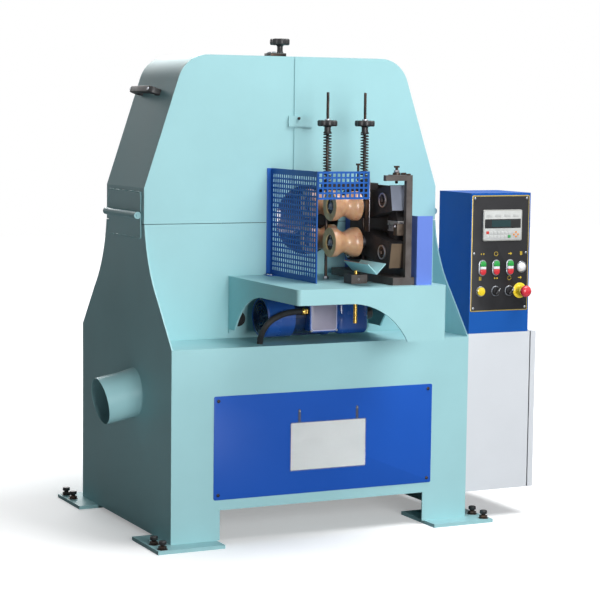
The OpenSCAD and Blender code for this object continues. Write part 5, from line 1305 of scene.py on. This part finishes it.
# ELECTRIC CABINET
class SANDER_OT_cabinet(bpy.types.Operator):
    """Finishes the cabinet, its door and the devices inside"""
    bl_idname = "sander.cabinet"
    bl_label = "Electric cabinet"

    def execute(self, context):
        paint = textured_paint("grey_textured_paint", colours().cabinet)
        dress("cabinet_box", paint, 1.2)
        dress("cabinet_door", paint, 2.0)
        dress("electrics", finish("device_housing", "#4A4D52", 0.0, 0.5, grain_mm=2.0, relief_mm=0.03,
                                  tint_mm=60.0), 1.5)
        lock = Build(zinc_plate(), black_nylon())
        lock.add(turned([(0, 4.6), (3.2, 4.6), (3.2, 5.2), (9.6, 5.2), (10.6, 3.8), (10.6, 0.5), (0, 0.5)],
                        (827, 20, 405.25), X, 40))
        lock.add(block((831.6, 18.6, 400), (832.4, 21.4, 410.5), 0.2), 1)
        lock.done("cabinet_lock", "electric_door", "black_steel")
        seal = Build(rubber())
        for y0, y1, z0, z1 in (
                (8, 12, 108, 647), (488, 492, 108, 647), (8, 492, 643, 647), (8, 492, 108, 112)):
            seal.add(block((804.2, y0, z0), (808.2, y1, z1), 1.0))
        seal.done("door_seal", "machine", "black_rubber")
        face = finish("relay_face", "#C9CBC8", 0.0, 0.45, grain_mm=2.0, relief_mm=0.02, tint_mm=30.0)
        duct = finish("duct_cover", "#9AA3AD", 0.0, 0.5, tint_mm=60.0)
        devices = Build(face, black_nylon(), duct)
        devices.add(block((679.6, 60, 330), (681.4, 180, 395), 0.8), 1)
        devices.add(block((679.6, 60, 190), (681.2, 180, 310), 0.8))
        for i in range(4):
            y = 215 + 47 * i
            devices.add(block((649.6, y + 4, 196), (652, y + 41, 238), 1.0))
            for j in range(3):
                devices.add(rod((649.6, y + 9 + 13.5 * j, 252),
                                (651.4, y + 9 + 13.5 * j, 252), 4, sides=16), 1)
        devices.add(block((609.7, 51, 541), (611.6, 449, 579), 0.6), 2)
        for i in range(24):
            devices.add(block((574, 54 + 16.6 * i, 579.6), (608, 60 + 16.6 * i, 581.4)), 1)
        devices.done("cabinet_devices", "machine", "cabinet_grey")
        return {"FINISHED"}


# PLANETARY HEAD
# Each pulley's body, its place from the spindle's axis, and its node
DRIVEN = {"driver_a": (-150, 90, "drive_pulley_a"), "driver_b": (150, -90, "drive_pulley_b"),
          "idler_a": (150, 90, "idler_pulley_a"), "idler_b": (-150, -90, "idler_pulley_b")}


class SANDER_OT_head(bpy.types.Operator):
    """Finishes the planetary head, its pulleys and its belts"""
    bl_idname = "sander.head"
    bl_label = "Planetary head"

    def execute(self, context):
        dress("spindle_housing", enamel("grey_head_enamel", "#5D7580"), 2.0)
        dress("spindle", shaded_steel(), 1.0)
        dress("rotor_plate", shaded_steel(), 1.5)
        self.belts()
        for body, (dx, dz, node) in DRIVEN.items():
            self.pulley(body, BAR_X + dx, BAR_Z + dz, node)
        self.rotor_bolts()
        return {"FINISHED"}

    def pulley(self, body, x, z, node):
        """A belt pulley with its shaft, and a second small pulley where it is driven."""
        piece = Build(shaded_steel(), blued_steel(), zinc_plate())
        piece.add(turned([(14, 314), (20, 314), (22, 318), (46, 318), (50, 314), (59, 314), (60, 315),
                          (60, 379), (59, 380), (50, 380), (46, 376), (22, 376), (20, 380), (12, 380),
                          (12, 314), (14, 314)], (x, 0, z), Y, 72))
        driven = node.startswith("drive")
        end = 418 if driven else 410
        piece.add(turned([(0, 312), (11, 312), (12, 313), (12, end), (0, end)], (x, 0, z), Y, 40), 1)
        piece.add(hexagon((x, 314, z), -Y, 10, 6), 2)
        for dx, dz in spread(5, 18, 34):
            piece.add(turned(washer(0, 6.5, 0.6, 0), (x + dx, 318, z + dz), -Y, 24), 1)
        if driven:
            piece.add(turned([(12, 415), (35, 415), (35, 430.6), (33, 431), (33, 431.4), (35, 431.8),
                              (35, 447), (12, 447)], (x, 0, z), Y, 56))
            piece.add(turned(washer(0, 12, 410, 447), (x, 0, z), Y, 40), 1)
        piece.done(body + "_pulley_wheel", body, "bright_steel", node)

    def belts(self):
        cloth, flat = abrasive_cloth(), rubber("flat_belt_rubber", "#1D1D20")
        belts = Build(cloth, flat)
        a, b, c, d = [place[:2] for place in DRIVEN.values()]
        belts.add(self.loop(a, c, 60.3, 60.3, 1.5, 317, 377))
        belts.add(self.loop(d, b, 60.3, 60.3, 1.5, 317, 377))
        belts.add(self.loop((0, 0), a, 90.3, 35.3, 3, 416, 430), 1)
        belts.add(self.loop((0, 0), b, 90.3, 35.3, 3, 432, 446), 1)
        belts.done("head_belt_loops", "head", "abrasive", "head_belts", 50)

    def loop(self, first, second, r, s, thick, y0, y1):
        """A belt drawn tight round two circles."""
        p, q = Vector(first), Vector(second)
        way = q - p
        along = math.degrees(math.atan2(way.y, way.x))
        part = bmesh.new()
        rims = []
        for grow in (0, thick):
            lean = math.degrees(math.acos((r - s) / way.length))
            rim = (arc(p.x, p.y, r + grow, along + lean, along + 360 - lean, 44)
                   + arc(q.x, q.y, s + grow, along - lean, along + lean, 44))
            rims.append([(u + BAR_X, v + BAR_Z) for u, v in rim])
        rows = [[part.verts.new((u, y, v)) for u, v in rim]
                for rim, y in ((rims[0], y0), (rims[1], y0), (rims[1], y1), (rims[0], y1))]
        skin(part, rows)
        return part

    def rotor_bolts(self):
        """The bolts round the rotor, the ring round the bar's way, and the housing's foot bolts."""
        bolts = Build(blued_steel(), ground_steel())
        for dx, dz in spread(12, 15, 232):
            spot = (BAR_X + dx, 390, BAR_Z + dz)
            bolts.add(turned([(3.4, 6), (7, 6), (7.4, 5.2), (7.4, 0), (3.4, 0)], spot, -Y, 20))
            bolts.add(turned(washer(0, 3.4, 2.4, 0), spot, -Y, 6))
        bolts.add(turned([(76, 0), (92, 0), (92, 3), (90, 4), (76, 4), (76, 0)],
                         (BAR_X, 390, BAR_Z), -Y, 72), 1)
        bolts.done("rotor_bolts", "head", "bright_steel")
        frame_bolts = Build(zinc_plate())
        for dx in (-110, 110):
            for y in (478, 532):
                frame_bolts.add(turned(washer(0, 15, 0, 2.5), (BAR_X + dx, y, 899.9), Z, 32))
                frame_bolts.add(hexagon((BAR_X + dx, y, 902.3), Z, 11, 9))
        frame_bolts.done("head_foot_bolts", "machine", "bright_steel")


# MAIN DRIVE
MAIN_MOTOR = (-180.0, 262.0)


class SANDER_OT_drive(bpy.types.Operator):
    """Finishes the main motor, its pulley and the belt to the spindle"""
    bl_idname = "sander.drive"
    bl_label = "Main drive"

    def execute(self, context):
        dress("main_motor", enamel("main_motor_enamel", "#2C6FA8"), 2.0)
        x, z = MAIN_MOTOR
        extra = Build(enamel("main_motor_enamel", "#2C6FA8"), black_nylon())
        for degrees in range(0, 360, 9):
            # No fins over the foot
            if not 160 < degrees < 200:
                fin = block((-1.3, 345, 106), (1.3, 520, 122), 0.6, 1)
                extra.add(fin, 0, about((x, 0, z), degrees, "Y"))
        extra.add(turned([(108, 532), (113, 532), (113, 556), (109, 558.5), (100, 558.5), (100, 556),
                          (108, 556)], (x, 0, z), Y, 72))
        for radius in (34, 50, 66, 82, 98):
            extra.add(turned([(radius - 2, 298.5), (radius + 2, 298.5), (radius + 2, 301),
                              (radius - 2, 301), (radius - 2, 298.5)], (x, 0, z), Y, 56), 1)
        extra.add(block((x - 62, 380, z + 118), (x + 62, 480, z + 168), 5, 3))
        extra.add(block((x - 64, 378, z + 168), (x + 64, 482, z + 174), 2, 2), 1)
        extra.done("main_motor_fins", "machine", "motor_blue")
        wheel = Build(turned_steel("turned_pulley"), blued_steel())
        wheel.add(turned([(14.1, 568.6), (24, 568.6), (26, 572), (54, 572), (58, 568.6), (70, 568.6),
                          (70, 573), (62, 574), (62, 585.4), (70, 586.4), (70, 590.6), (58, 590.6),
                          (54, 587), (26, 587), (24, 590.6), (14.1, 590.6), (14.1, 568.6)],
                         (x, 0, z), Y, 72))
        wheel.add(turned(washer(0, 12, 590, 592), (x, 0, z), Y, 32), 1)
        wheel.done("motor_pulley_wheel", "motor_drive", "bright_steel", "motor_pulley")
        dress("main_belt", rubber("drive_belt_rubber", "#1A1A1C"))
        return {"FINISHED"}


OPERATORS = (
    SANDER_OT_stage, SANDER_OT_cable, SANDER_OT_body, SANDER_OT_hood, SANDER_OT_guards, SANDER_OT_stand,
    SANDER_OT_arms, SANDER_OT_rollers, SANDER_OT_springs, SANDER_OT_support, SANDER_OT_gearmotor,
    SANDER_OT_console, SANDER_OT_buttons, SANDER_OT_cabinet, SANDER_OT_head, SANDER_OT_drive)


class SANDER_PT_machine(bpy.types.Panel):
    """Lists the settings and the pieces of the machine"""
    bl_idname = "SANDER_PT_machine"
    bl_label = "Round Bar Sanding Machine"
    bl_space_type = "VIEW_3D"
    bl_region_type = "UI"
    bl_category = "Sander"

    def draw(self, context):
        for title, group in (("Colours", colours()), ("Sizes", sizes())):
            box = self.layout.box()
            box.label(text=title)
            for name in group.__annotations__:
                box.prop(group, name)
        column = self.layout.column(align=True)
        for kind in OPERATORS:
            column.operator(kind.bl_idname)


CLASSES = (MachineColours, MachineSizes, *OPERATORS, SANDER_PT_machine)


def register():
    for kind in CLASSES:
        bpy.utils.register_class(kind)
    bpy.types.Scene.machine_colours = bpy.props.PointerProperty(type=MachineColours)
    bpy.types.Scene.machine_sizes = bpy.props.PointerProperty(type=MachineSizes)


def unregister():
    del bpy.types.Scene.machine_sizes
    del bpy.types.Scene.machine_colours
    for kind in reversed(CLASSES):
        bpy.utils.unregister_class(kind)


def main():
    register()
    for kind in OPERATORS:
        group, name = kind.bl_idname.split(".")
        getattr(getattr(bpy.ops, group), name)()


if __name__ == "__main__":
    main()
